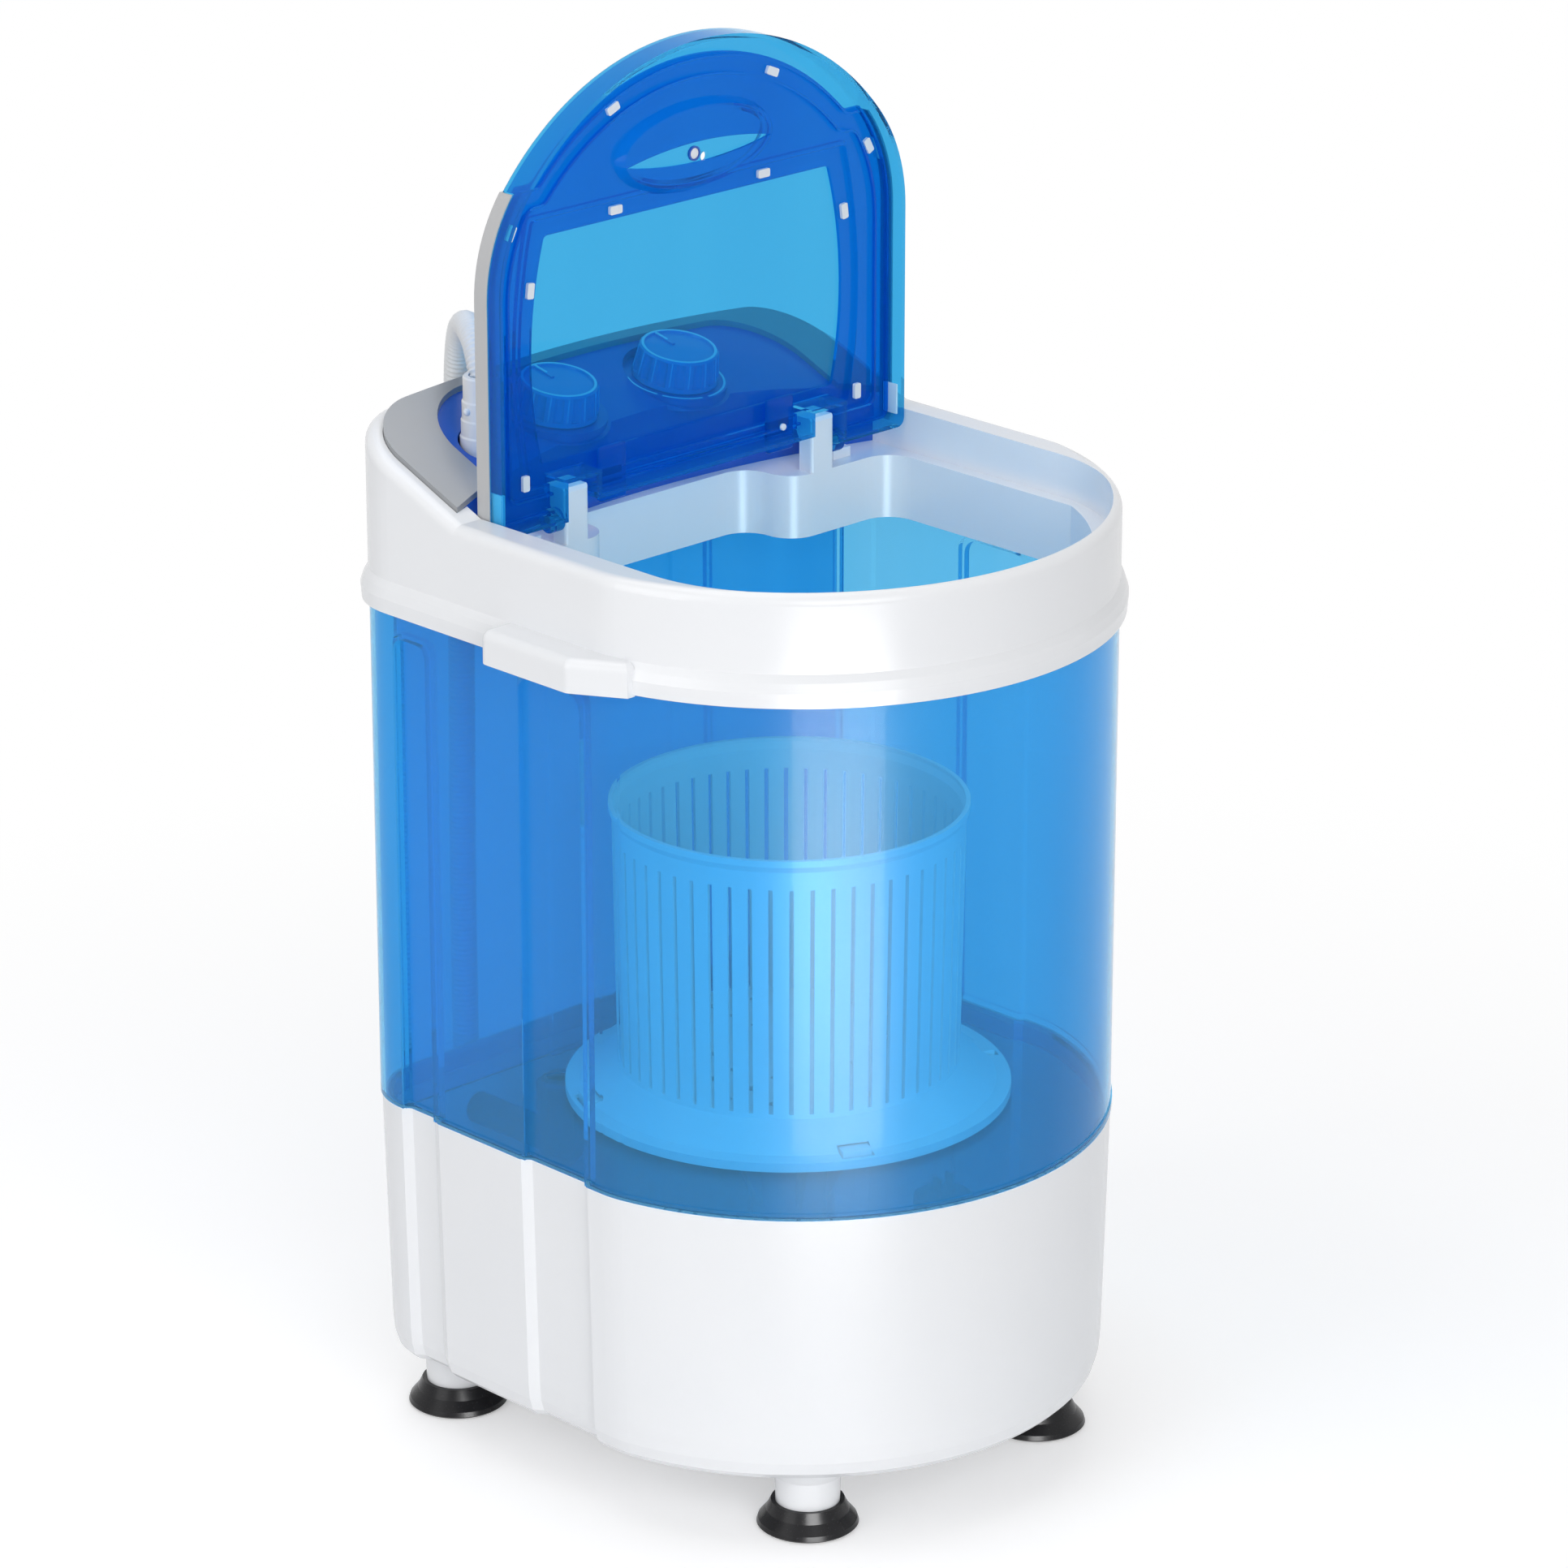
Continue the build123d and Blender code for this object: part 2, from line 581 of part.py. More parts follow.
def hose_cuff():
    """Stepped cuff that holds the upper hose end in the inlet."""
    seat, inner = 570.0, HOSE_R + 0.4
    body = turned([
        (inner, CUFF_TOP),
        (10.2, CUFF_TOP),
        (10.9, CUFF_TOP - 1),
        (10.9, 581),
        (11.6, 580),
        (11.6, 571),
        (12.2, 570),
        (12.2, 562),
        (12.8, 561),
        (12.8, 545),
        (7.5, 545),
        (7.5, 528),
        (HOSE_BORE, 528),
        (HOSE_BORE, seat),
        (inner, seat),
    ])
    nub = Pos(-11.6, 0, 576) * Sphere(2.2) - rod(10, 570, 582)
    return Pos(*INLET) * (body + nub)


def hose_bends():
    """Bend radius at each turn of the hose route."""
    steps = [Vector(*b) - Vector(*a) for a, b in zip(HOSE_ROUTE, HOSE_ROUTE[1:])]
    radii = []
    for before, after in zip(steps, steps[1:]):
        half_turn = radians(before.get_angle(after)) / 2
        radii.append(0.45 * min(before.length, after.length) / tan(half_turn))
    return radii


def hose_path():
    return Wire(FilletPolyline(*HOSE_ROUTE, radius=hose_bends()).edges())


def across(path, distance):
    """Plane square to the hose, its X axis kept steady from end to end."""
    t = min(distance / path.length, 1.0)
    along = path.tangent_at(t)
    steady = Vector(HOSE_ROUTE[2][1] - INLET[1], INLET[0] - HOSE_ROUTE[2][0], 0)
    return Plane(origin=path.position_at(t), x_dir=steady - along * steady.dot(along), z_dir=along)


def inlet_hose():
    """Ribbed hose with its bore, from the cuff over the back and down to the floor."""
    path = hose_path()
    low = HOSE_R - RIB_DEPTH
    pitch = (path.length - 2 * HOSE_END) / HOSE_RIBS
    stations = [(0.0, low)]
    for i in range(HOSE_RIBS):
        start = HOSE_END + i * pitch
        stations += [(start, low), (start + 0.2 * pitch, HOSE_R)]
        stations += [(start + 0.5 * pitch, HOSE_R), (start + 0.7 * pitch, low)]
    stations += [(path.length - HOSE_END, low), (path.length, low)]
    tube = loft([across(path, s) * Circle(radius) for s, radius in stations], ruled=True)
    bore = sweep(across(path, 0) * Circle(HOSE_BORE), path=path)
    print("hose length", round(path.length, 1), "bend radii", [round(r, 1) for r in hose_bends()])
    return tube - bore


def tap_connector():
    """Tap connector on the lower hose end: gripping sleeve, fluted union nut, open bore."""
    path = hose_path()
    sleeve = rod(9.4, -14, 6) - rod(HOSE_R - RIB_DEPTH, -15, 0) - rod(HOSE_BORE, -1, 7)
    nut = rod(13.5, 4, 22) - rod(10.5, 7, 23) - rod(HOSE_BORE, 3, 8)
    for i in range(12):
        nut = nut - Rot(0, 0, i * 30) * rod(1.6, 3, 23, 14.2)
    return across(path, path.length) * (sleeve + nut)


def on_hinge(solid):
    """Turn a lid piece from its closed place to the open, upright place."""
    return Pos(0, HINGE_Y, HINGE_Z) * Rot(-90, 0, 0) * Pos(0, -HINGE_Y, -HINGE_Z) * solid


def post_slots(grow, z0, z1):
    """Notches for the two hinge posts, and the recess between them, in the lid's rear edge."""
    width = SLOT_X[1] - SLOT_X[0] + 2 * grow
    middle = (SLOT_X[0] + SLOT_X[1]) / 2
    notch = Pos(middle, SLOT_Y - grow + 20, z0) * Box(width, 40, z1 - z0, align=UP)
    recess = Pos(0, HINGE_Y - LID_RECESS - grow + 20, z0) * Box(2 * middle, 40, z1 - z0, align=UP)
    return both_sides(notch) + recess


def finger_cup(grow):
    """Oval finger cup sunk in the lid's outer face."""
    top = Pos(0, CUP_Y, LID_TOP + 0.01) * Ellipse(56 + grow, 24 + grow)
    bottom = Pos(0, CUP_Y, LID_TOP - CUP_DEPTH - grow) * Ellipse(49 + grow, 17 + grow)
    return loft([bottom, top])


def hinge_lug():
    """Right hinge lug of the lid, an eye round the pin."""
    eye = Pos(HINGE_Y, HINGE_Z) * Circle(LUG_R)
    neck = Pos(HINGE_Y - 2, HINGE_Z + 0.8) * Rectangle(4, 9.4)
    return extrude(Plane.YZ.offset(LUG_X[0]) * (eye + neck), amount=LUG_X[1] - LUG_X[0])


def lid_outer():
    """Clear lid shell: plate, deep rim, finger cup, notches for the posts and hinge lugs."""
    rim_z = LID_TOP - LID_DEPTH
    shell = extrude(Pos(0, 0, rim_z) * lid_outline(), amount=LID_DEPTH)
    shell = fillet(shell.faces().sort_by(Axis.Z)[-1].edges(), 3)
    inside = Pos(0, 0, rim_z - 1) * lid_outline(-LID_WALL, -LID_WALL)
    hollow = extrude(inside, amount=LID_DEPTH - LID_WALL + 1)
    hollow = hollow - post_slots(LID_WALL, rim_z - 1, LID_TOP) - finger_cup(2)
    shell = shell - hollow - finger_cup(0) - post_slots(0, rim_z - 1, LID_TOP + 1)
    shell = shell - rod(2.5, rim_z, LID_TOP, 5, CUP_Y + 7)
    shell = shell + both_sides(hinge_lug())
    shell = shell - both_sides(lid_trim(0.1))
    bore = Pos(LUG_X[0] - 1, HINGE_Y, HINGE_Z) * Rot(0, 90, 0) * Cylinder(PIN_R + RUN_GAP, 9, align=UP)
    return on_hinge(shell - both_sides(bore))


def lid_window(grow):
    """Window of the inner lid frame: straight top and bottom, bowed sides."""
    top, bottom = -77.0 - grow, 46.0 + grow
    right = ThreePointArc((103 + grow, top), (113 + grow, -8), (106 + grow, bottom)).edge()
    left = right.mirror(Plane.YZ)
    ends = [
        Line((103 + grow, top), (-103 - grow, top)).edge(),
        Line((106 + grow, bottom), (-106 - grow, bottom)).edge(),
    ]
    return fillet(Face(Wire([right, left] + ends)).vertices(), 3)


def lid_frame_outline(inset):
    """Plan of the inner lid frame: a dome in front of shoulders that reach the lid's sides."""
    edge = LID_WALL + inset
    wide = lid_outline(-edge, -edge) & Pos(0, SHOULDER_Y + inset + 200) * Rectangle(400, 400)
    dome = Pos(0, ARC_Y) * Circle(DOME_R - inset)
    dome = dome & Pos(0, SHOULDER_Y - 95 + inset) * Rectangle(400, 200)
    face = (wide + dome).face()
    inner = [v for v in face.vertices() if abs(v.Y - SHOULDER_Y - inset) < 0.1 and abs(v.X) < DOME_R * 0.78]
    return fillet(inner, 8)


def lid_inner():
    """Inner lid frame: domed plate with beads, a land round its window and a bowl under the cup."""
    under = INNER_Z - 3
    plate = extrude(Pos(0, 0, INNER_Z) * lid_frame_outline(0.3), amount=INNER_T)
    for inset in (1.5, 11.0):
        bead = lid_frame_outline(inset) - lid_frame_outline(inset + 1.4)
        plate = plate + extrude(Pos(0, 0, under) * bead, amount=3.5)
    box = extrude(Pos(0, 0, INNER_Z) * lid_window(LAND + INNER_T), amount=LAND_Z - INNER_Z)
    well = extrude(Pos(0, 0, under) * lid_window(LAND), amount=LAND_Z - INNER_T - under)
    plate = plate + box - well - extrude(Pos(0, 0, under) * lid_window(0), amount=20)
    lug_room = Pos(LUG_X[1] - 4, HINGE_Y, under - 1) * Box(9, 2 * LUG_R + 1.4, 12, align=UP)
    plate = plate - post_slots(LID_WALL + 0.3, under - 1, LID_TOP) - both_sides(lug_room)
    below = Pos(0, CUP_Y, INNER_Z - 8) * Box(140, 80, 8 + INNER_T, align=UP)
    bowl = (finger_cup(4.2) - finger_cup(2.6)) & below
    lens = Pos(0, CUP_Y + 246) * Circle(248.5) & Pos(0, CUP_Y - 240) * Circle(248.5)
    return on_hinge(plate - finger_cup(2.6) + bowl - extrude(Pos(0, 0, under - 4) * lens, amount=5))


def lid_clips():
    """Pale clips that hold the inner frame in the lid, on its plate and on the land."""
    clips = []
    for x, y, turn, on_land in CLIPS:
        seat = LAND_Z - INNER_T if on_land else INNER_Z
        clip = extrude(RectangleRounded(8.5, 4.6, 1), amount=-1.8)
        clips.append(Pos(x, y, seat) * Rot(0, 0, turn) * clip)
    return on_hinge(Compound(clips + [mirror_x(clip) for clip in clips]))


def lid_trim(grow):
    """Right grey trim let into the side of the lid, following its outline."""
    ring = lid_outline(0.4 + grow) - lid_outline(-1.1 - grow)
    span = Pos(LID_X - 10, -15.5) * Rectangle(60, 178 + 2 * grow)
    bar = extrude(Pos(0, 0, LID_TOP - 9.6 - grow) * (ring & span), amount=9.4 + 2 * grow)
    return bar


def lid_trims():
    return on_hinge(Compound([lid_trim(0), mirror_x(lid_trim(0))]))


def hinge_pins():
    pin = hinge_pin(LUG_X[1] + 0.2)
    return Compound([pin, mirror_x(pin)])


def floor_holes():
    """Ring radius and angle of each drain hole in the basket floor."""
    places = []
    for ring, count in ((40, 10), (58, 14), (76, 18)):
        places += [(ring, 2 * pi * i / count) for i in range(count)]
    return places


def spin_basket():
    """Lift-out basket: slotted wall, perforated floor, stepped skirt with lock notches."""
    wall, wide, top = BASKET_R, BASKET_R + BASKET_FLARE, BASKET_TOP
    body = turned([
        (0, 226),
        (13, 226),
        (21, 218),
        (25, 216),
        (wall - 2.2, 216),
        (wide - 2.2, top - 6),
        (wide - 0.6, top - 2),
        (wide - 0.6, top),
        (wide + 2, top),
        (wide + 2, top - 3.5),
        (wide, top - 7),
        (wall, 214.5),
        (97, 212),
        (113, 202),
        (FLANGE_R, 201),
        (FLANGE_R, 196),
        (FLANGE_R - 2, 196),
        (FLANGE_R - 2, 199),
        (112, 199.8),
        (96, 209.8),
        (92, 213.6),
        (24, 213.6),
        (19, 216),
        (12, 223.6),
        (0, 223.6),
    ])
    slot = Pos(wall, 0, 281) * Box(14, 2.4, 128)
    slots = [Rot(0, 0, i * 360 / BASKET_SLOTS) * slot for i in range(BASKET_SLOTS)]
    holes = [rod(3, 210, 220, ring * cos(a), ring * sin(a)) for ring, a in floor_holes()]
    lock = Pos(112.2, 0, 200) * Box(12.6, 18, 10)
    locks = [Rot(0, 0, LOCK_TURN + i * 360 / LOCK_COUNT) * lock for i in range(LOCK_COUNT)]
    return Pos(0, SPIN_Y) * (body - (slots + holes + locks))


def pulsator():
    """Wash pulsator: dished disc with curved vanes, locking lugs and a hub for the shaft."""
    body = turned([
        (0, 213.2),
        (15, 213.2),
        (18, 209),
        (26, 203),
        (60, 199.5),
        (PULSATOR_R - 1, 198.2),
        (PULSATOR_R, 197.4),
        (PULSATOR_R, 196.2),
        (60, 196.2),
        (24, 199),
        (15, 197),
        (0, 197),
    ])
    vane = Pos(0, 0, 197) * extrude(Pos(58, 0) * SlotOverall(66, 7), amount=12)
    lug = Pos(112.2, 0, 197) * Box(8, 16, 7, align=UP)
    for i in range(LOCK_COUNT):
        body = body + Rot(0, 0, LOCK_TURN + i * 360 / LOCK_COUNT) * lug
        body = body + Rot(0, 0, LOCK_TURN + (i + 0.5) * 360 / LOCK_COUNT) * vane
    return Pos(0, SPIN_Y) * (body - rod(SHAFT_R, 190, SHAFT_Z[1]))


def drive_shaft():
    """Stepped drive shaft from the lower pulley up to the pulsator."""
    shaft = rod(SHAFT_R, SHAFT_Z[0] + 6, SHAFT_Z[1]) + rod(4.5, SHAFT_Z[0], SHAFT_Z[0] + 6)
    shaft = chamfer(shaft.faces().sort_by(Axis.Z)[-1].edges(), 0.6)
    return Pos(0, SPIN_Y) * shaft


def shaft_nut():
    nut = extrude(Pos(0, 0, SHAFT_Z[0] + 1) * RegularPolygon(8, 6), amount=5)
    return Pos(0, SPIN_Y) * (nut - rod(4.5, *SHAFT_Z))


def bearing_housing():
    """Flanged housing under the tub floor with seats for two bearings and the seal."""
    body = turned([
        (8, 124),
        (8, 166),
        (14, 166),
        (14, 176),
        (SEAL_R, 176),
        (SEAL_R, 189.5),
        (19, 189.5),
        (19, 180),
        (54, 180),
        (54, 176),
        (27, 176),
        (24, 172),
        (20, 112),
        (14, 112),
        (14, 124),
    ])
    outline = Polyline((19, 130), (22, 130), (46, 176.5), (19, 176.5), close=True)
    rib = extrude(Plane.XZ * make_face(outline.edges()), amount=1.5, both=True)
    for i in range(6):
        body = body + Rot(0, 0, i * 60) * rib
    body = Pos(0, SPIN_Y) * body
    for x, y in screw_ring():
        body = body - rod(1.7, 170, 182, x, y)
    return body


def bearings():
    """Two ball bearings as closed rings, one at each end of the housing."""
    ring = turned([
        (SHAFT_R + RUN_GAP, 0.4),
        (SHAFT_R + 0.5, 0),
        (9, 0),
        (9, 0.6),
        (11.4, 0.6),
        (11.4, 0),
        (13.6, 0),
        (14, 0.4),
        (14, 9.6),
        (13.6, 10),
        (11.4, 10),
        (11.4, 9.4),
        (9, 9.4),
        (9, 10),
        (SHAFT_R + 0.5, 10),
        (SHAFT_R + RUN_GAP, 9.6),
    ])
    return Compound([Pos(0, SPIN_Y, z) * ring for z in (113.0, 166.0)])


def shaft_seal():
    """Lip seal round the shaft in the tub floor."""
    ring = turned([
        (SHAFT_R + RUN_GAP, 186),
        (SHAFT_R + RUN_GAP, 187),
        (8.5, 190),
        (9.5, 194.2),
        (SEAL_R, 194.2),
        (SEAL_R, 178),
        (10, 178),
        (8, 184),
    ])
    return Pos(0, SPIN_Y) * ring


def pulley(pitch_r, bore, hub_r, spokes):
    """V-belt pulley centred on the belt plane, webbed or with round lightening holes."""
    rim = pitch_r + 4
    body = turned([
        (bore, -6),
        (rim - 0.6, -6),
        (rim, -5.4),
        (rim, -4.4),
        (rim - 7.2, -2),
        (rim - 7.2, 2),
        (rim, 4.4),
        (rim, 5.4),
        (rim - 0.6, 6),
        (bore, 6),
    ])
    if spokes:
        middle = (hub_r + rim - 11) / 2
        width = rim - 11 - hub_r
        for side in (-1, 1):
            ring = Pos(0, 0, side * 5) * (Cylinder(rim - 11, 6) - Cylinder(hub_r, 6))
            body = body - ring
        for i in range(spokes):
            body = body - Rot(0, 0, i * 360 / spokes) * Pos(middle, 0) * Cylinder(width / 2 - 3, 20)
    return body


def drive_pulley():
    return Pos(0, SPIN_Y, BELT_Z) * pulley(DRIVE_PITCH_R, SHAFT_R, 14, 6)


def motor_pulley():
    return Pos(0, MOTOR_Y, BELT_Z) * pulley(MOTOR_PITCH_R, ROTOR_R, 8, 0)


def belt_line(radius_big, radius_small):
    """Filled outline of the belt round both pulleys."""
    big = Pos(0, SPIN_Y) * Circle(radius_big)
    small = Pos(0, MOTOR_Y) * Circle(radius_small)
    span = MOTOR_Y - SPIN_Y
    lean = (radius_big - radius_small) / span
    cosine = sqrt(1 - lean * lean)
    corners = [
        (radius_big * cosine, SPIN_Y + radius_big * lean),
        (radius_small * cosine, MOTOR_Y + radius_small * lean),
        (-radius_small * cosine, MOTOR_Y + radius_small * lean),
        (-radius_big * cosine, SPIN_Y + radius_big * lean),
    ]
    return big + small + make_face(Polyline(*corners, close=True).edges())


def drive_belt():
    """V-belt in the grooves of both pulleys."""
    outside = belt_line(DRIVE_PITCH_R + 2.2, MOTOR_PITCH_R + 2.2)
    inside = belt_line(DRIVE_PITCH_R - 1.4, MOTOR_PITCH_R - 1.4)
    return extrude(Pos(0, 0, BELT_Z - 2.6) * (outside - inside), amount=5.2)


def motor_screw_holes(z0, z1, radius):
    holes = [rod(radius, z0, z1, x, MOTOR_Y + y) for x in (-25, 25) for y in (-25, 25)]
    return Compound(holes)


def motor():
    """Motor case with cooling fins, end bells and a through bore for the rotor shaft."""
    low, high = MOTOR_Z
    body = rod(MOTOR_R, low + 14, high - 14) + rod(MOTOR_R - 5, low, high)
    body = body + rod(13, high, high + 4) + rod(12, low - 4, low)
    for i in range(16):
        slot = Rot(0, 0, i * 22.5) * Pos(MOTOR_R - 5, 0, high - 5) * Box(8, 3, 12)
        body = body - slot
    body = body - rod(ROTOR_R + RUN_GAP, low - 5, high + 5)
    return Pos(0, MOTOR_Y) * body - motor_screw_holes(MOTOR_Z[0] - 1, MOTOR_Z[0] + 10, 1.9)


def motor_rotor():
    """Motor shaft through both end bells."""
    shaft = rod(ROTOR_R, BELT_Z - 9, MOTOR_Z[1] + 9)
    return Pos(0, MOTOR_Y) * chamfer(shaft.faces().sort_by(Axis.Z)[-1].edges(), 0.5)


def motor_bracket():
    """Folded bracket that carries the motor over the pulleys."""
    top = MOTOR_Z[0]
    floor = BASE_FLOOR
    plate = Pos(0, MOTOR_Y, top - 3) * extrude(RectangleRounded(190, 64, 5), amount=3)
    leg = Pos(93.5, MOTOR_Y - 8, floor) * Box(3, 46, top - floor, align=UP)
    foot = Pos(100, MOTOR_Y - 8, floor) * Box(16, 46, 3, align=UP)
    body = plate + both_sides(leg + foot) - rod(12.4, top - 5, top + 1, 0, MOTOR_Y)
    body = body - motor_screw_holes(top - 5, top + 1, 2.2)
    for x, y in bracket_screw_places():
        body = body - rod(2.2, floor - 1, floor + 4, x, y)
    return body


def bracket_screws():
    body = Rot(180, 0, 0) * screw(3.6, 2.4, 1.8, 6)
    return Compound([Pos(x, y, BASE_FLOOR + 3) * body for x, y in bracket_screw_places()])


def motor_screws():
    body = screw(3.8, 2.4, 1.8, 12)
    return Compound([Pos(x, MOTOR_Y + y, MOTOR_Z[0] - 3) * body for x in (-25, 25) for y in (-25, 25)])


def capacitor():
    """Motor capacitor standing in its clip on the base floor."""
    floor = BASE_FLOOR
    body = rod(17, floor + 2, floor + 62)
    body = fillet(body.edges(), 2)
    for dx in (-5, 5):
        body = body + Pos(dx, 0, floor + 61) * Box(0.8, 6.3, 12, align=UP)
    return Pos(*CAPACITOR) * body


def capacitor_clip():
    floor = BASE_FLOOR
    clip = rod(19.4, floor, floor + 22) - rod(17.2, floor + 2, floor + 23)
    clip = clip - Pos(-19, 0, floor + 2) * Box(12, 12, 30, align=UP)
    return Pos(*CAPACITOR) * clip


def drain_elbow():
    """Drain elbow from the tub floor to the outlet in the back."""
    x, y = DRAIN
    out = REAR_Y + 5
    outer = rod(13.5, DRAIN_PIPE_Z, TUB_Z - 4, x, y)
    outer = outer + Pos(x, y, DRAIN_PIPE_Z) * Sphere(13.5)
    pipe = Pos(x, out, DRAIN_PIPE_Z) * Rot(90, 0, 0)
    outer = outer + pipe * Cylinder(9, out - y, align=UP)
    outer = outer + Pos(x, out - 2, DRAIN_PIPE_Z) * Rot(90, 0, 0) * Cylinder(10, 2, align=UP)
    inner = rod(11.2, TUB_Z - 17, TUB_Z, x, y) + rod(6.5, DRAIN_PIPE_Z, TUB_Z, x, y)
    inner = inner + Pos(x, y, DRAIN_PIPE_Z) * Sphere(6.5) + pipe * Cylinder(6.5, out - y, align=UP)
    return outer - inner


def cord_gland():
    """Strain relief for the mains lead in the back of the base."""
    body = turned([
        (3.4, -6),
        (8.6, -6),
        (8.6, -3.8),
        (6.8, -3.8),
        (6.8, 0),
        (9.5, 0),
        (9.5, 2.5),
        (5.5, 7),
        (3.4, 7),
    ])
    return Pos(GLAND[0], REAR_Y - 1.9, GLAND[1]) * Rot(-90, 0, 0) * body


def rubber_feet():
    """Four bell-shaped rubber feet, each with a recess for its stub and a screw well."""
    foot = turned([
        (2.2, 5),
        (5.6, 5),
        (5.6, 0),
        (FOOT_R - 1, 0),
        (FOOT_R, 1),
        (FOOT_R - 0.8, 3.5),
        (22.5, 8.5),
        (19.8, 14),
        (STUB_R + 0.3, 14),
        (STUB_R + 0.3, STUB_Z),
        (2.2, STUB_Z),
    ])
    return Compound([Pos(x, y) * foot for x, y in FEET])


def foot_screws():
    body = screw(4.8, 3, 2, 22)
    return Compound([Pos(x, y, 5) * body for x, y in FEET])


def cover_screws():
    body = screw(3.6, 2.2, 1.6, 11)
    return Compound([Pos(x, y, BASE_Z - 2.5) * body for x, y in COVER_SCREWS])


def flange_screws():
    body = screw(3.6, 2.4, 1.5, 11)
    return Compound([Pos(x, y, 176) * body for x, y in screw_ring()])


def frame_screws():
    body = Rot(90, 0, 0) * screw(3.8, 1.6, 1.5, 8)
    return Compound([Pos(x, REAR_Y + 1.3, FRAME_SCREW_Z) * body for x in FRAME_SCREW_X])


def parts():
    """Every node's name with the function that builds it."""
    return {
        "base_housing": base_housing,
        "base_cover": base_cover,
        "cover_screws": cover_screws,
        "rubber_feet": rubber_feet,
        "foot_screws": foot_screws,
        "tub_shell": tub_shell,
        "top_frame": top_frame,
        "frame_screws": frame_screws,
        "control_deck": control_deck,
        "panel_bezel": panel_bezel,
        "inlet_socket": inlet_socket,
        "hose_cuff": hose_cuff,
        "inlet_hose": inlet_hose,
        "tap_connector": tap_connector,
        "wash_timer": lambda: switch_case(0, 42, 30),
        "spin_switch": lambda: switch_case(1, 36, 30),
        "wash_spindle": lambda: spindle(0),
        "spin_spindle": lambda: spindle(1),
        "wash_knob": lambda: knob(0),
        "spin_knob": lambda: knob(1),
        "lid_outer": lid_outer,
        "lid_inner": lid_inner,
        "lid_clips": lid_clips,
        "lid_trims": lid_trims,
        "hinge_pins": hinge_pins,
        "spin_basket": spin_basket,
        "pulsator": pulsator,
        "drive_shaft": drive_shaft,
        "shaft_nut": shaft_nut,
        "drive_pulley": drive_pulley,
        "shaft_seal": shaft_seal,
        "bearings": bearings,
        "bearing_housing": bearing_housing,
        "flange_screws": flange_screws,
        "motor": motor,
        "motor_rotor": motor_rotor,
        "motor_pulley": motor_pulley,
        "motor_bracket": motor_bracket,
        "motor_screws": motor_screws,
        "bracket_screws": bracket_screws,
        "drive_belt": drive_belt,
        "capacitor": capacitor,
        "capacitor_clip": capacitor_clip,
        "drain_elbow": drain_elbow,
        "cord_gland": cord_gland,
    }


if __name__ == "__main__":
    os.makedirs("parts", exist_ok=True)
    for name, build in parts().items():
        export_step(build(), f"parts/{name}.step")
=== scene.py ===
# %% [markdown]
# # A mini washing machine, dressed for the camera
#
# The machine is a round-fronted tub of clear blue plastic between a white base and a white
# top frame. Its hard pieces come from the CAD frame with their exact shapes, so most of the
# work here is finish: what light does on gloss plastic, in clear plastic and on rubber.
# The hose, the printed scale and some very small trim are made here.

# %% Load the frame
import bpy
import json
import math
from mathutils import Matrix, Vector


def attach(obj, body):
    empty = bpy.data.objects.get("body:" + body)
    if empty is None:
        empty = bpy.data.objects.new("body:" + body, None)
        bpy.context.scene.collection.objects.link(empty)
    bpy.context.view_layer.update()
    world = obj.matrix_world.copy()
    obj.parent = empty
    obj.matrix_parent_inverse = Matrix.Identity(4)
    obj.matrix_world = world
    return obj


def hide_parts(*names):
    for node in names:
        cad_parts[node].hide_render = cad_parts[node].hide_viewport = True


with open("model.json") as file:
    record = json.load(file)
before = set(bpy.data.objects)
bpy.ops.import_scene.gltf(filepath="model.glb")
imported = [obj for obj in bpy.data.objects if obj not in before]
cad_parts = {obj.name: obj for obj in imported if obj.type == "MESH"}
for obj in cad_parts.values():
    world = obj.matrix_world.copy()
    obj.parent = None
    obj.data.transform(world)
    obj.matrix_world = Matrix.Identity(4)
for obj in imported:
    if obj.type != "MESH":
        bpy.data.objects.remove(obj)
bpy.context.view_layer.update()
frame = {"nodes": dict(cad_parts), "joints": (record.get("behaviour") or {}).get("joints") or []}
bpy.ops.object.select_all(action="DESELECT")
nodes = frame["nodes"]

# %% [markdown]
# ## Camera
#
# A product photograph is usually taken from far away with a long lens, so that upright edges
# stay nearly upright. The camera stands about 3.5 m from the middle of the machine, to the left
# of the front and a little above, and the lens is long enough for the machine to fill the frame.

# %% Camera
SENSOR = 36.0
FOCAL_PIXELS = 8000
FRAME_PIXELS = 1932
CAMERA_AT = (-2.2752, -2.3320, 1.5628)
CAMERA_PITCH = math.radians(69.9)
CAMERA_HEADING = math.radians(-44.2)

camera_data = bpy.data.cameras.new("product_camera")
camera_data.sensor_width = SENSOR
camera_data.lens = SENSOR * FOCAL_PIXELS / FRAME_PIXELS
camera_data.clip_end = 100
camera = bpy.data.objects.new("product_camera", camera_data)
camera.location = CAMERA_AT
camera.rotation_euler = (CAMERA_PITCH, 0, CAMERA_HEADING)
bpy.context.collection.objects.link(camera)
bpy.context.scene.camera = camera
print("lens", round(camera_data.lens, 2), "mm")

# %% [markdown]
# ## Inlet hose
#
# The water hose is a ribbed tube of soft white plastic. It stands straight in its cuff, folds
# over the back edge of the machine and drops to the floor, where it runs along the back wall.
# A NURBS curve bends smoothly between a few points, as a real hose does, and the ribs are
# swept along it as rings whose radius rises and falls.

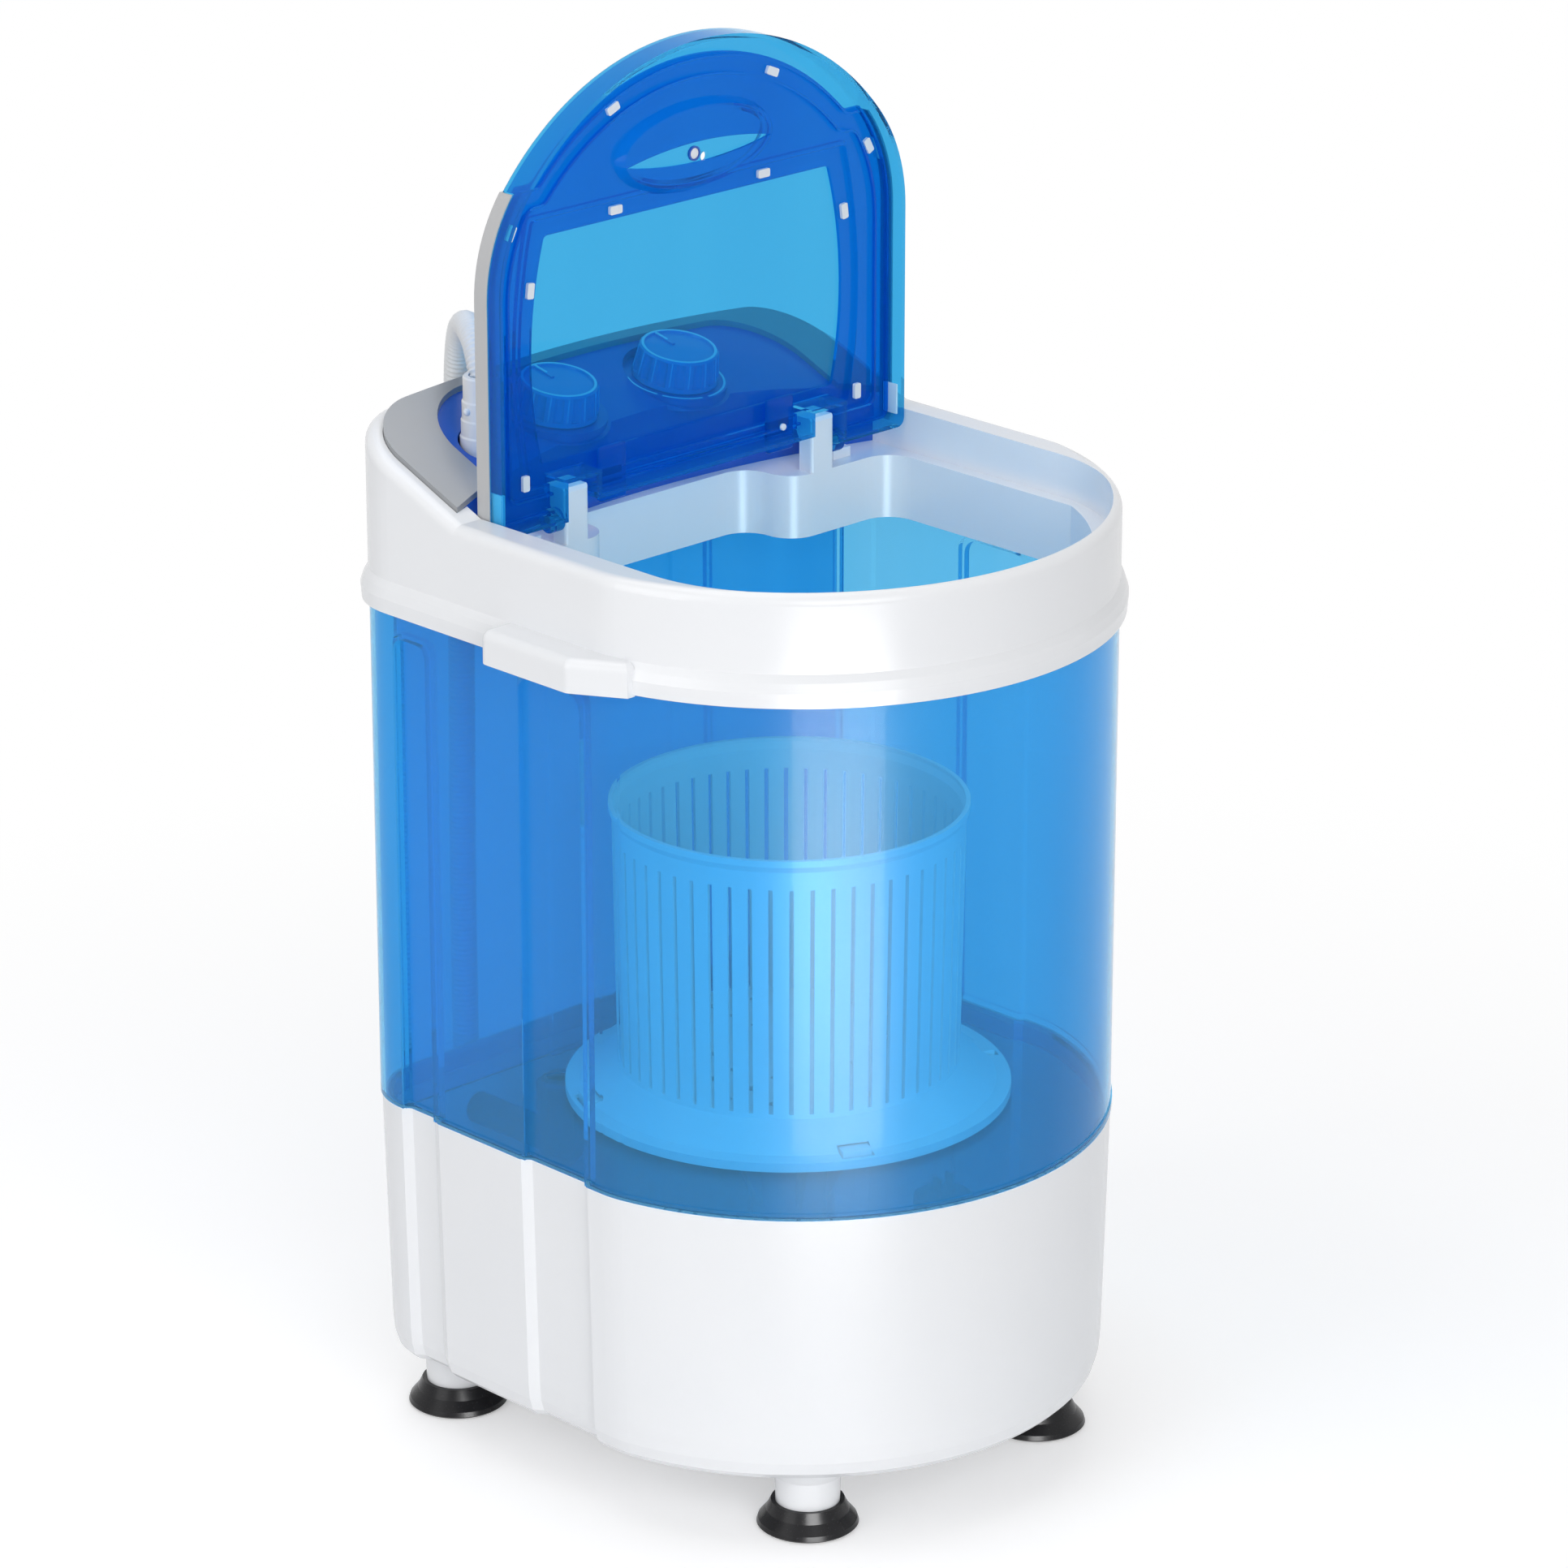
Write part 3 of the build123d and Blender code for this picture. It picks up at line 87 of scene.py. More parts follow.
# %% Route of the hose
HOSE_ROUTE = [
    (-0.107, 0.124, 0.570),
    (-0.107, 0.124, 0.609),
    (-0.066, 0.193, 0.609),
    (-0.063, 0.1945, 0.450),
    (-0.068, 0.1935, 0.235),
    (-0.062, 0.196, 0.010),
    (0.134, 0.200, 0.014),
]
HOSE_R = 0.0075
RIB_DEPTH = 0.001
RIB_PITCH = 0.0030
HOSE_END = 0.015


def nurbs_line(name, points, resolution=48):
    """Points along a smooth NURBS curve that has these control points."""
    curve = bpy.data.curves.new(name, "CURVE")
    curve.dimensions = "3D"
    spline = curve.splines.new("NURBS")
    spline.points.add(len(points) - 1)
    for point, place in zip(spline.points, points):
        point.co = (*place, 1)
    spline.order_u = 3
    spline.use_endpoint_u = True
    spline.resolution_u = resolution
    holder = bpy.data.objects.new(name, curve)
    bpy.context.collection.objects.link(holder)
    graph = bpy.context.evaluated_depsgraph_get()
    line = bpy.data.meshes.new_from_object(holder.evaluated_get(graph))
    places = [v.co.copy() for v in line.vertices]
    bpy.data.objects.remove(holder)
    bpy.data.curves.remove(curve)
    bpy.data.meshes.remove(line)
    return places


def along(places):
    """A function from distance to place and direction, and the whole length."""
    reach = [0.0]
    for a, b in zip(places, places[1:]):
        reach.append(reach[-1] + (b - a).length)

    def at(distance):
        i = 0
        while i < len(reach) - 2 and reach[i + 1] < distance:
            i += 1
        step = reach[i + 1] - reach[i]
        t = (distance - reach[i]) / step
        return places[i].lerp(places[i + 1], t), (places[i + 1] - places[i]).normalized()

    return at, reach[-1]


hose_line = nurbs_line("hose_line", HOSE_ROUTE)
hose_at, hose_length = along(hose_line)
print("hose length", round(hose_length, 4))

# %% [markdown]
# ## Ribs of the hose
#
# One rib is five rings: where along the pitch each ring lies, and how far it is sunk from the
# full radius, as a share of the rib's depth. The ends stay plain, where the cuff and the tap
# connector hold the hose.

# %% Ribbed hose
HOSE_SIDES = 14
RIB_PROFILE = ((0.0, 1.0), (0.22, 0.15), (0.38, 0.0), (0.54, 0.15), (0.76, 1.0))


def hose_stations():
    """Distance and radius of each ring: a plain end, five rings to a rib, a plain end."""
    low = HOSE_R - RIB_DEPTH
    ribs = int((hose_length - 2 * HOSE_END) / RIB_PITCH)
    pitch = (hose_length - 2 * HOSE_END) / ribs
    stations = [(0.0, low)]
    for i in range(ribs):
        start = HOSE_END + i * pitch
        for share, sunk in RIB_PROFILE:
            stations.append((start + share * pitch, HOSE_R - RIB_DEPTH * sunk))
    return stations + [(hose_length - HOSE_END, low), (hose_length, low)]


def sweep_rings(name, at, stations, sides):
    """Closed mesh tube from rings square to a line, turned as little as possible on the way."""
    vertices, faces = [], []
    side = None
    for distance, radius in stations:
        place, direction = at(distance)
        if side is None:
            side = direction.orthogonal().normalized()
        side = (side - direction * side.dot(direction)).normalized()
        other = direction.cross(side)
        for k in range(sides):
            angle = 2 * math.pi * k / sides
            vertices.append(place + radius * (math.cos(angle) * side + math.sin(angle) * other))
    for r in range(len(stations) - 1):
        for k in range(sides):
            a, b = r * sides + k, r * sides + (k + 1) % sides
            faces.append((a, b, b + sides, a + sides))
    faces.append(tuple(reversed(range(sides))))
    last = (len(stations) - 1) * sides
    faces.append(tuple(range(last, last + sides)))
    mesh = bpy.data.meshes.new(name)
    mesh.from_pydata([tuple(v) for v in vertices], [], faces)
    mesh.shade_smooth()
    piece = bpy.data.objects.new(name, mesh)
    bpy.context.collection.objects.link(piece)
    return piece


hose = sweep_rings("water_hose", hose_at, hose_stations(), HOSE_SIDES)
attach(hose, "machine")
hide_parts("inlet_hose")
print(hose.name, len(hose.data.polygons), "faces")

# %% [markdown]
# ## Shared effects
#
# Moulded plastic is never perfectly even. One node group gives a slow drift of tone, a fine
# grain that varies the roughness, and the same grain as a height for a bump. Each material
# places the group with its own values, so that one effect serves the whole machine.

# %% Moulded surface group
GROUP_VALUES = (("Tone Scale", 14.0), ("Grain Scale", 900.0), ("Roughness", 0.25), ("Spread", 0.08))
RELIEF_DEPTH = 0.0005


def moulded_surface():
    """Node group from a place on the piece to colour, roughness and height."""
    group = bpy.data.node_groups.new("moulded_surface", "ShaderNodeTree")
    face = group.interface
    face.new_socket("Vector", in_out="INPUT", socket_type="NodeSocketVector")
    for name, start in GROUP_VALUES:
        socket = face.new_socket(name, in_out="INPUT", socket_type="NodeSocketFloat")
        socket.default_value = start
    face.new_socket("Color", in_out="INPUT", socket_type="NodeSocketColor")
    face.new_socket("Shade", in_out="INPUT", socket_type="NodeSocketColor")
    face.new_socket("Color", in_out="OUTPUT", socket_type="NodeSocketColor")
    face.new_socket("Roughness", in_out="OUTPUT", socket_type="NodeSocketFloat")
    face.new_socket("Height", in_out="OUTPUT", socket_type="NodeSocketFloat")
    tree = group.nodes
    link = group.links.new
    given = tree.new("NodeGroupInput")
    result = tree.new("NodeGroupOutput")
    tone = tree.new("ShaderNodeTexNoise")
    tone.inputs["Detail"].default_value = 3
    grain = tree.new("ShaderNodeTexNoise")
    grain.inputs["Detail"].default_value = 2
    link(given.outputs["Vector"], tone.inputs["Vector"])
    link(given.outputs["Tone Scale"], tone.inputs["Scale"])
    link(given.outputs["Vector"], grain.inputs["Vector"])
    link(given.outputs["Grain Scale"], grain.inputs["Scale"])
    mix = tree.new("ShaderNodeMix")
    mix.data_type = "RGBA"
    link(tone.outputs["Fac"], mix.inputs["Factor"])
    link(given.outputs["Color"], mix.inputs["A"])
    link(given.outputs["Shade"], mix.inputs["B"])
    link(mix.outputs["Result"], result.inputs["Color"])
    centred = tree.new("ShaderNodeMath")
    centred.operation = "SUBTRACT"
    centred.inputs[1].default_value = 0.5
    link(grain.outputs["Fac"], centred.inputs[0])
    spread = tree.new("ShaderNodeMath")
    spread.operation = "MULTIPLY_ADD"
    link(centred.outputs[0], spread.inputs[0])
    link(given.outputs["Spread"], spread.inputs[1])
    link(given.outputs["Roughness"], spread.inputs[2])
    link(spread.outputs[0], result.inputs["Roughness"])
    link(grain.outputs["Fac"], result.inputs["Height"])
    return group


MOULDED = moulded_surface()


def plastic(
    name, color, shade, roughness, spread=0.08, tone=14, grain=900, bump=0.02, flow=1.0, **sockets
):
    """A moulded plastic or rubber; a small flow draws its pattern out into upright streaks."""
    material = bpy.data.materials.new(name)
    material.use_nodes = True
    tree = material.node_tree
    shader = tree.nodes["Principled BSDF"]
    where = tree.nodes.new("ShaderNodeTexCoord")
    group = tree.nodes.new("ShaderNodeGroup")
    group.node_tree = MOULDED
    group.inputs["Tone Scale"].default_value = tone
    group.inputs["Grain Scale"].default_value = grain
    group.inputs["Roughness"].default_value = roughness
    group.inputs["Spread"].default_value = spread
    group.inputs["Color"].default_value = (*color, 1)
    group.inputs["Shade"].default_value = (*shade, 1)
    relief = tree.nodes.new("ShaderNodeBump")
    relief.inputs["Strength"].default_value = bump
    relief.inputs["Distance"].default_value = RELIEF_DEPTH
    link = tree.links.new
    drawn = tree.nodes.new("ShaderNodeMapping")
    drawn.inputs["Scale"].default_value = (1, 1, flow)
    link(where.outputs["Object"], drawn.inputs["Vector"])
    link(drawn.outputs["Vector"], group.inputs["Vector"])
    link(group.outputs["Color"], shader.inputs["Base Color"])
    link(group.outputs["Roughness"], shader.inputs["Roughness"])
    link(group.outputs["Height"], relief.inputs["Height"])
    link(relief.outputs["Normal"], shader.inputs["Normal"])
    for socket, value in sockets.items():
        shader.inputs[socket.replace("_", " ")].default_value = value
    return material


def finish_with(material, *names):
    """Put a material on every slot of these CAD pieces."""
    for name in names:
        for slot in nodes[name].material_slots:
            slot.material = material


print("group", MOULDED.name, len(MOULDED.nodes), "nodes")

# %% [markdown]
# ## White, grey and black plastics
#
# The base, the top frame and the small fittings are white gloss plastic, cool rather than
# cream. The bezel is a satin silver-grey, and the feet are black rubber with a soft gloss.

# %% Opaque plastics
white = plastic("white_gloss", (0.86, 0.87, 0.89), (0.83, 0.845, 0.87), 0.24, bump=0.015)
grey = plastic(
    "bezel_satin",
    (0.34, 0.35, 0.365),
    (0.31, 0.32, 0.335),
    0.38,
    grain=2400,
    bump=0.03,
    Metallic=0.25,
)
rubber = plastic(
    "foot_rubber", (0.006, 0.006, 0.007), (0.010, 0.010, 0.012), 0.26, Specular_IOR_Level=0.25
)
black = plastic("black_plastic", (0.02, 0.02, 0.022), (0.03, 0.03, 0.033), 0.45)
hose_white = plastic("hose_plastic", (0.80, 0.81, 0.82), (0.72, 0.74, 0.76), 0.30, grain=500)
connector = plastic("connector_plastic", (0.19, 0.20, 0.21), (0.16, 0.17, 0.18), 0.45)
basket_white = plastic("basket_plastic", (0.84, 0.85, 0.86), (0.79, 0.81, 0.83), 0.33)
deck = plastic("deck_blue_gloss", (0.012, 0.11, 0.52), (0.010, 0.09, 0.46), 0.22, bump=0.015)
knob_blue = plastic("knob_clear_blue", (0.05, 0.32, 0.72), (0.03, 0.25, 0.62), 0.10, bump=0.01)
trim_grey = plastic("trim_satin", (0.50, 0.505, 0.515), (0.46, 0.465, 0.475), 0.34, grain=2400)
# The pale blue of the grip ribs is a painted highlight of the knob's ridge edges.
rib_painted_highlight = plastic("rib_painted_highlight", (0.16, 0.52, 0.85), (0.12, 0.46, 0.80), 0.12, bump=0.01)
# Pale plastic for the pointers, snaps and printed scale; on the ring round a knob's top it is a
# painted highlight of the rim.
pale_trim_and_rim_highlight = plastic("pale_trim_and_rim_highlight", (0.62, 0.82, 0.92), (0.56, 0.77, 0.88), 0.25)
steel = plastic(
    "turned_steel", (0.55, 0.56, 0.58), (0.48, 0.49, 0.51), 0.3, grain=1500, Metallic=1.0
)
paint = plastic("motor_paint", (0.12, 0.125, 0.13), (0.10, 0.105, 0.11), 0.5, Metallic=0.4)

finish_with(white, "base_housing", "base_cover", "top_frame", "inlet_socket", "lid_clips")
finish_with(grey, "panel_bezel")
finish_with(trim_grey, "lid_trims")
finish_with(rubber, "rubber_feet", "shaft_seal", "drain_elbow", "drive_belt")
finish_with(black, "wash_timer", "spin_switch", "capacitor", "capacitor_clip", "cord_gland")
finish_with(connector, "tap_connector", "drive_pulley", "motor_pulley")
finish_with(hose_white, "hose_cuff")
finish_with(basket_white, "spin_basket", "pulsator")
finish_with(deck, "control_deck")
finish_with(knob_blue, "wash_knob", "spin_knob")
finish_with(steel, "hinge_pins", "wash_spindle", "spin_spindle", "drive_shaft", "shaft_nut")
finish_with(steel, "bearings", "bearing_housing", "motor_rotor", "motor_bracket")
finish_with(steel, "cover_screws", "foot_screws", "frame_screws", "flange_screws")
finish_with(steel, "motor_screws", "bracket_screws")
finish_with(paint, "motor")
hose.data.materials.append(hose_white)
print("opaque finishes made and put on")

# %% [markdown]
# ## Clear blue plastic
#
# The tub and the lid are tinted clear plastic. Real glass in a path tracer keeps lamps out, so
# what stands inside would go dark. The shader below is plain glass for the eye, and a tinted
# pane for the lamps, so that the light reaches the basket as it does through real plastic. Its
# refraction is set lower than that of real plastic, to keep what stands behind a wall in place.

# %% Clear blue plastics
CLEAR_IOR = 1.12
COAT_IOR = 1.5


def clear_plastic(name, color, shade, lamp_tint, roughness, clear, coat, coat_roughness=0.05):
    """Clear moulded plastic: drifting tint, faint flow lines, a tinted pane for shadow rays."""
    material = plastic(
        name, color, shade, roughness, spread=0.01, tone=16, grain=24, bump=0.002, flow=0.15
    )
    tree = material.node_tree
    shader = tree.nodes["Principled BSDF"]
    shader.inputs["IOR"].default_value = CLEAR_IOR
    shader.inputs["Transmission Weight"].default_value = clear
    shader.inputs["Coat Weight"].default_value = coat
    shader.inputs["Coat Roughness"].default_value = coat_roughness
    shader.inputs["Coat IOR"].default_value = COAT_IOR
    pane = tree.nodes.new("ShaderNodeBsdfTransparent")
    pane.inputs["Color"].default_value = (*lamp_tint, 1)
    rays = tree.nodes.new("ShaderNodeLightPath")
    mix = tree.nodes.new("ShaderNodeMixShader")
    link = tree.links.new
    link(rays.outputs["Is Shadow Ray"], mix.inputs["Fac"])
    link(shader.outputs["BSDF"], mix.inputs[1])
    link(pane.outputs["BSDF"], mix.inputs[2])
    link(mix.outputs["Shader"], tree.nodes["Material Output"].inputs["Surface"])
    return material


tub_clear = clear_plastic(
    "tub_clear_blue",
    (0.18, 0.60, 0.90),
    (0.10, 0.53, 0.86),
    lamp_tint=(0.82, 0.94, 1.0),
    roughness=0.05,
    clear=0.88,
    coat=0.3,
    coat_roughness=0.34,
)
lid_clear = clear_plastic(
    "lid_clear_blue",
    (0.06, 0.47, 0.80),
    (0.05, 0.43, 0.77),
    lamp_tint=(0.74, 0.90, 1.0),
    roughness=0.02,
    clear=0.9,
    coat=0.10,
)
lid_deep = clear_plastic(
    "lid_frame_blue",
    (0.016, 0.35, 0.80),
    (0.010, 0.29, 0.75),
    lamp_tint=(0.5, 0.78, 0.98),
    roughness=0.03,
    clear=0.86,
    coat=0.12,
)
finish_with(tub_clear, "tub_shell")
finish_with(lid_clear, "lid_outer")
finish_with(lid_deep, "lid_inner")
print("clear finishes", tub_clear.name, lid_clear.name, lid_deep.name)

# %% [markdown]
# ## Rings and bars
#
# The small trim is made of flat rings and of bars with rounded edges. A ring starts as a disc:
# an inset gives its width, the middle is deleted, and an extrusion gives its thickness. An arc
# is the same ring with some of its faces deleted first.

# %% Flat rings and bars
RING_SIDES = 120
SMOOTH_ANGLE = math.radians(35)


def edit_all(name):
    """Name the new piece and open it in edit mode with everything selected."""
    piece = bpy.context.active_object
    piece.name = piece.data.name = name
    bpy.context.tool_settings.mesh_select_mode = (False, False, True)
    bpy.ops.object.mode_set(mode="EDIT")
    bpy.ops.mesh.select_all(action="SELECT")
    return piece


def flat_ring(name, outer, inner, height, arcs=((0, 360),)):
    """Flat ring, or arcs of one, with its foot at z = 0; angles run from +X towards +Y."""
    bpy.ops.object.select_all(action="DESELECT")
    bpy.ops.mesh.primitive_circle_add(vertices=RING_SIDES, radius=outer, fill_type="NGON")
    piece = edit_all(name)
    bpy.ops.mesh.inset(thickness=outer - inner)
    bpy.ops.mesh.delete(type="FACE")
    bpy.ops.mesh.select_all(action="DESELECT")
    bpy.ops.object.mode_set(mode="OBJECT")
    for face in piece.data.polygons:
        angle = math.degrees(math.atan2(face.center.y, face.center.x)) % 360
        face.select = not any(first <= angle <= last for first, last in arcs)
    bpy.ops.object.mode_set(mode="EDIT")
    bpy.ops.mesh.delete(type="FACE")
    bpy.ops.mesh.select_all(action="SELECT")
    bpy.ops.mesh.extrude_region_move(TRANSFORM_OT_translate={"value": (0, 0, height)})
    bpy.ops.mesh.select_all(action="SELECT")
    bpy.ops.mesh.normals_make_consistent(inside=False)
    bpy.ops.object.mode_set(mode="OBJECT")
    return piece


def rounded_bar(name, size, centre, radius, segments=3):
    """Bar with rounded edges, from a cube that is scaled and bevelled in edit mode."""
    bpy.ops.object.select_all(action="DESELECT")
    bpy.ops.mesh.primitive_cube_add(size=1)
    piece = edit_all(name)
    bpy.ops.transform.resize(value=size)
    bpy.ops.transform.translate(value=centre)
    bpy.ops.mesh.bevel(offset=radius, segments=segments, affect="EDGES")
    bpy.ops.object.mode_set(mode="OBJECT")
    return piece


def finish_piece(piece, body, material, place=None):
    """Put the place into the mesh, give the finish, and let the piece ride on its body."""
    if place is not None:
        piece.data.transform(place)
    piece.data.shade_smooth()
    bpy.ops.object.select_all(action="DESELECT")
    piece.select_set(True)
    bpy.context.view_layer.objects.active = piece
    bpy.ops.object.shade_smooth_by_angle(angle=SMOOTH_ANGLE)
    piece.data.materials.append(material)
    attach(piece, body)
    print(piece.name, len(piece.data.polygons), "faces on", body)


print("rings have", RING_SIDES, "sides")

# %% [markdown]
# ## Grip ribs
#
# The side of a knob is a fluted cone, and a thin rib stands on each ridge between two flutes.
# Its pale blue is a painted highlight, standing for the gleam along the ridge edges. One bar is
# bevelled and leaned to the cone, copies of it are turned round the knob, and the copies are
# joined into one piece.

# %% Grip ribs of a knob
RIBS = 14
RIB_SIZE = (0.0009, 0.0009, 0.0134)
RIB_AT = (0.02245, 0, 0.0102)
RIB_LEAN = math.radians(-7.7)
RIB_ROUND = 0.0003


def grip_ribs(name):
    """Thin ribs round a knob that stands on z = 0, joined into one piece."""
    bar = rounded_bar(name, RIB_SIZE, (0, 0, 0), RIB_ROUND, segments=2)
    bar.data.transform(Matrix.Translation(RIB_AT) @ Matrix.Rotation(RIB_LEAN, 4, "Y"))
    copies = []
    for k in range(RIBS):
        copy = bpy.data.objects.new(name, bar.data.copy())
        copy.data.transform(Matrix.Rotation(2 * math.pi * (k + 0.5) / RIBS, 4, "Z"))
        bpy.context.collection.objects.link(copy)
        copies.append(copy)
    bpy.data.objects.remove(bar)
    bpy.ops.object.select_all(action="DESELECT")
    for copy in copies:
        copy.select_set(True)
    bpy.context.view_layer.objects.active = copies[0]
    bpy.ops.object.join()
    copies[0].name = copies[0].data.name = name
    return copies[0]


print("grip ribs to a knob", RIBS)

# %% [markdown]
# ## Lines, pointers and scale
#
# Each knob carries a thin raised ring round its top, whose pale colour is a painted highlight
# of the knob's rim, a pale pointer and its grip ribs, all of which turn with it. The deck round
# the spin knob is printed with a scale in three arcs, which stays where it is. The seat of a
# knob is its joint's place, leaned towards the front.

# %% Knob lines and printed scale
SEAT_TILT = math.radians(12)
KNOB_TOP = 0.018
RIM_OUTER, RIM_INNER = 0.0206, 0.0191
LINE_T = 0.0004
POINTER_SIZE = (0.0014, 0.0100, 0.0008)
POINTER_AT = (0, 0.0145, 0.0001)
POINTER_ROUND = 0.0002
SCALE_OUTER, SCALE_INNER = 0.0278, 0.0266
SCALE_T = 0.00012
SCALE_ARCS = ((155, 206), (214, 262), (270, 345))

for joint in frame["joints"]:
    body = joint["child"]
    if body not in ("wash_control", "spin_control"):
        continue
    seat = Matrix.Translation(joint["pos_m"]) @ Matrix.Rotation(SEAT_TILT, 4, "X")
    at_top = seat @ Matrix.Translation((0, 0, KNOB_TOP - LINE_T / 2))
    kind = body.split("_")[0]
    # The pale ring round the knob's top is a painted highlight of its rim.
    ring = flat_ring(kind + "_knob_rim_highlight", RIM_OUTER, RIM_INNER, LINE_T)
    finish_piece(ring, body, pale_trim_and_rim_highlight, at_top)
    bar = rounded_bar(kind + "_knob_pointer", POINTER_SIZE, POINTER_AT, POINTER_ROUND)
    finish_piece(bar, body, pale_trim_and_rim_highlight, at_top)
    ribs = grip_ribs(kind + "_knob_ribs")
    finish_piece(ribs, body, rib_painted_highlight, seat)
    if kind == "spin":
        scale = flat_ring("deck_scale", SCALE_OUTER, SCALE_INNER, SCALE_T, SCALE_ARCS)
        finish_piece(scale, "machine", pale_trim_and_rim_highlight, seat)

# %% [markdown]
# ## Tabs and snaps of the lid
#
# Two plain tabs stand on the inner lid frame beside the hinge posts, and four pale snaps join
# the inner frame to the rim. They are bars with rounded edges. Each one is given for the right
# side, and the left one is its mirror image.

# %% Tabs and snaps of the lid
TAB_SIZE, TAB_AT, TAB_ROUND = (0.019, 0.0036, 0.030), (0.0615, 0.0748, 0.5420), 0.0012
LOW_SNAP_SIZE, LOW_SNAP_AT = (0.0012, 0.010, 0.017), (0.1446, 0.0725, 0.5400)
HIGH_SNAP_SIZE, HIGH_SNAP_AT = (0.0014, 0.0055, 0.0135), (0.1387, 0.0795, 0.6810)
HIGH_SNAP_LEAN = 0.30
SNAP_ROUND = 0.0004


def on_side(side, place):
    """The place on the right for side 1, and its mirror image for side -1."""
    return (side * place[0], place[1], place[2])


for side, name in ((-1, "left"), (1, "right")):
    tab = rounded_bar("lid_tab_" + name, TAB_SIZE, on_side(side, TAB_AT), TAB_ROUND)
    finish_piece(tab, "lid", lid_deep)
    low_at = on_side(side, LOW_SNAP_AT)
    low = rounded_bar("lid_snap_low_" + name, LOW_SNAP_SIZE, low_at, SNAP_ROUND)
    finish_piece(low, "lid", pale_trim_and_rim_highlight)
    lean = Matrix.Rotation(-side * HIGH_SNAP_LEAN, 4, "Y")
    high = rounded_bar("lid_snap_high_" + name, HIGH_SNAP_SIZE, (0, 0, 0), SNAP_ROUND)
    high_at = Matrix.Translation(on_side(side, HIGH_SNAP_AT)) @ lean
    finish_piece(high, "lid", white, high_at)

# %% [markdown]
# ## Plugs of the lid
#
# A small white plug sits in the right tab, and another closes the hole that the mould leaves in
# the finger cup, with a dark ring round it. A plug is a short cylinder whose front edge is
# bevelled. All of them face the front and ride on the lid.

# %% Plugs of the lid
PLUG_SIDES = 32
PLUG_BEVEL = 0.25
FACING = Matrix.Rotation(math.pi / 2, 4, "X")
TAB_PLUG_R, TAB_PLUG_DEPTH, TAB_PLUG_AT = 0.0019, 0.002, (0.0625, 0.0727, 0.5405)
CUP_PLUG_R, CUP_PLUG_DEPTH, CUP_PLUG_AT = 0.0031, 0.003, (-0.0025, 0.0736, 0.7040)
CUP_RING_OUTER, CUP_RING_INNER, CUP_RING_T = 0.0040, 0.0030, 0.0014
CUP_RING_AT = (-0.0025, 0.0734, 0.7040)


def plug(name, radius, depth):
    """Short plug with a rounded face at +Z, from a cylinder whose front edge is bevelled."""
    bpy.ops.object.select_all(action="DESELECT")
    bpy.ops.mesh.primitive_cylinder_add(vertices=PLUG_SIDES, radius=radius, depth=depth)
    piece = edit_all(name)
    bpy.ops.mesh.select_all(action="DESELECT")
    bpy.ops.object.mode_set(mode="OBJECT")
    for face in piece.data.polygons:
        face.select = face.normal.z > 0.9
    bpy.ops.object.mode_set(mode="EDIT")
    bpy.ops.mesh.bevel(offset=radius * PLUG_BEVEL, segments=3, affect="EDGES")
    bpy.ops.object.mode_set(mode="OBJECT")
    return piece


def facing_at(place):
    """Turn +Z to the front of the machine and move to the place."""
    return Matrix.Translation(place) @ FACING


tab_plug = plug("lid_tab_plug", TAB_PLUG_R, TAB_PLUG_DEPTH)
finish_piece(tab_plug, "lid", white, facing_at(TAB_PLUG_AT))
cup_plug = plug("lid_cup_plug", CUP_PLUG_R, CUP_PLUG_DEPTH)
finish_piece(cup_plug, "lid", white, facing_at(CUP_PLUG_AT))
cup_ring = flat_ring("lid_cup_ring", CUP_RING_OUTER, CUP_RING_INNER, CUP_RING_T)
finish_piece(cup_ring, "lid", deck, facing_at(CUP_RING_AT))

# %% [markdown]
# ## Floor
#
# The machine stands on a plain pale floor. The floor adds some light of its own to what the eye
# sees, and farther out it fades to plain white, so that only the soft shadow near the machine
# shows. Light that bounces off the floor onto the machine stays that of a plain surface.

# %% Floor
FLOOR_SIZE = 24
FLOOR_Z = -0.0005
FLOOR_COLOR = (0.80, 0.80, 0.81, 1)
WHITE = (1, 1, 1, 1)
FLOOR_LIFT = 0.36
FADE_START, FADE_END = 0.35, 1.1


def seen_directly(tree):
    """A value that is 1 for what the eye sees, straight, in gloss or through clear plastic."""
    rays = tree.nodes.new("ShaderNodeLightPath")
    value = rays.outputs["Is Camera Ray"]
    for name in ("Is Glossy Ray", "Is Transmission Ray"):
        larger = tree.nodes.new("ShaderNodeMath")
        larger.operation = "MAXIMUM"
        tree.links.new(value, larger.inputs[0])
        tree.links.new(rays.outputs[name], larger.inputs[1])
        value = larger.outputs[0]
    return value


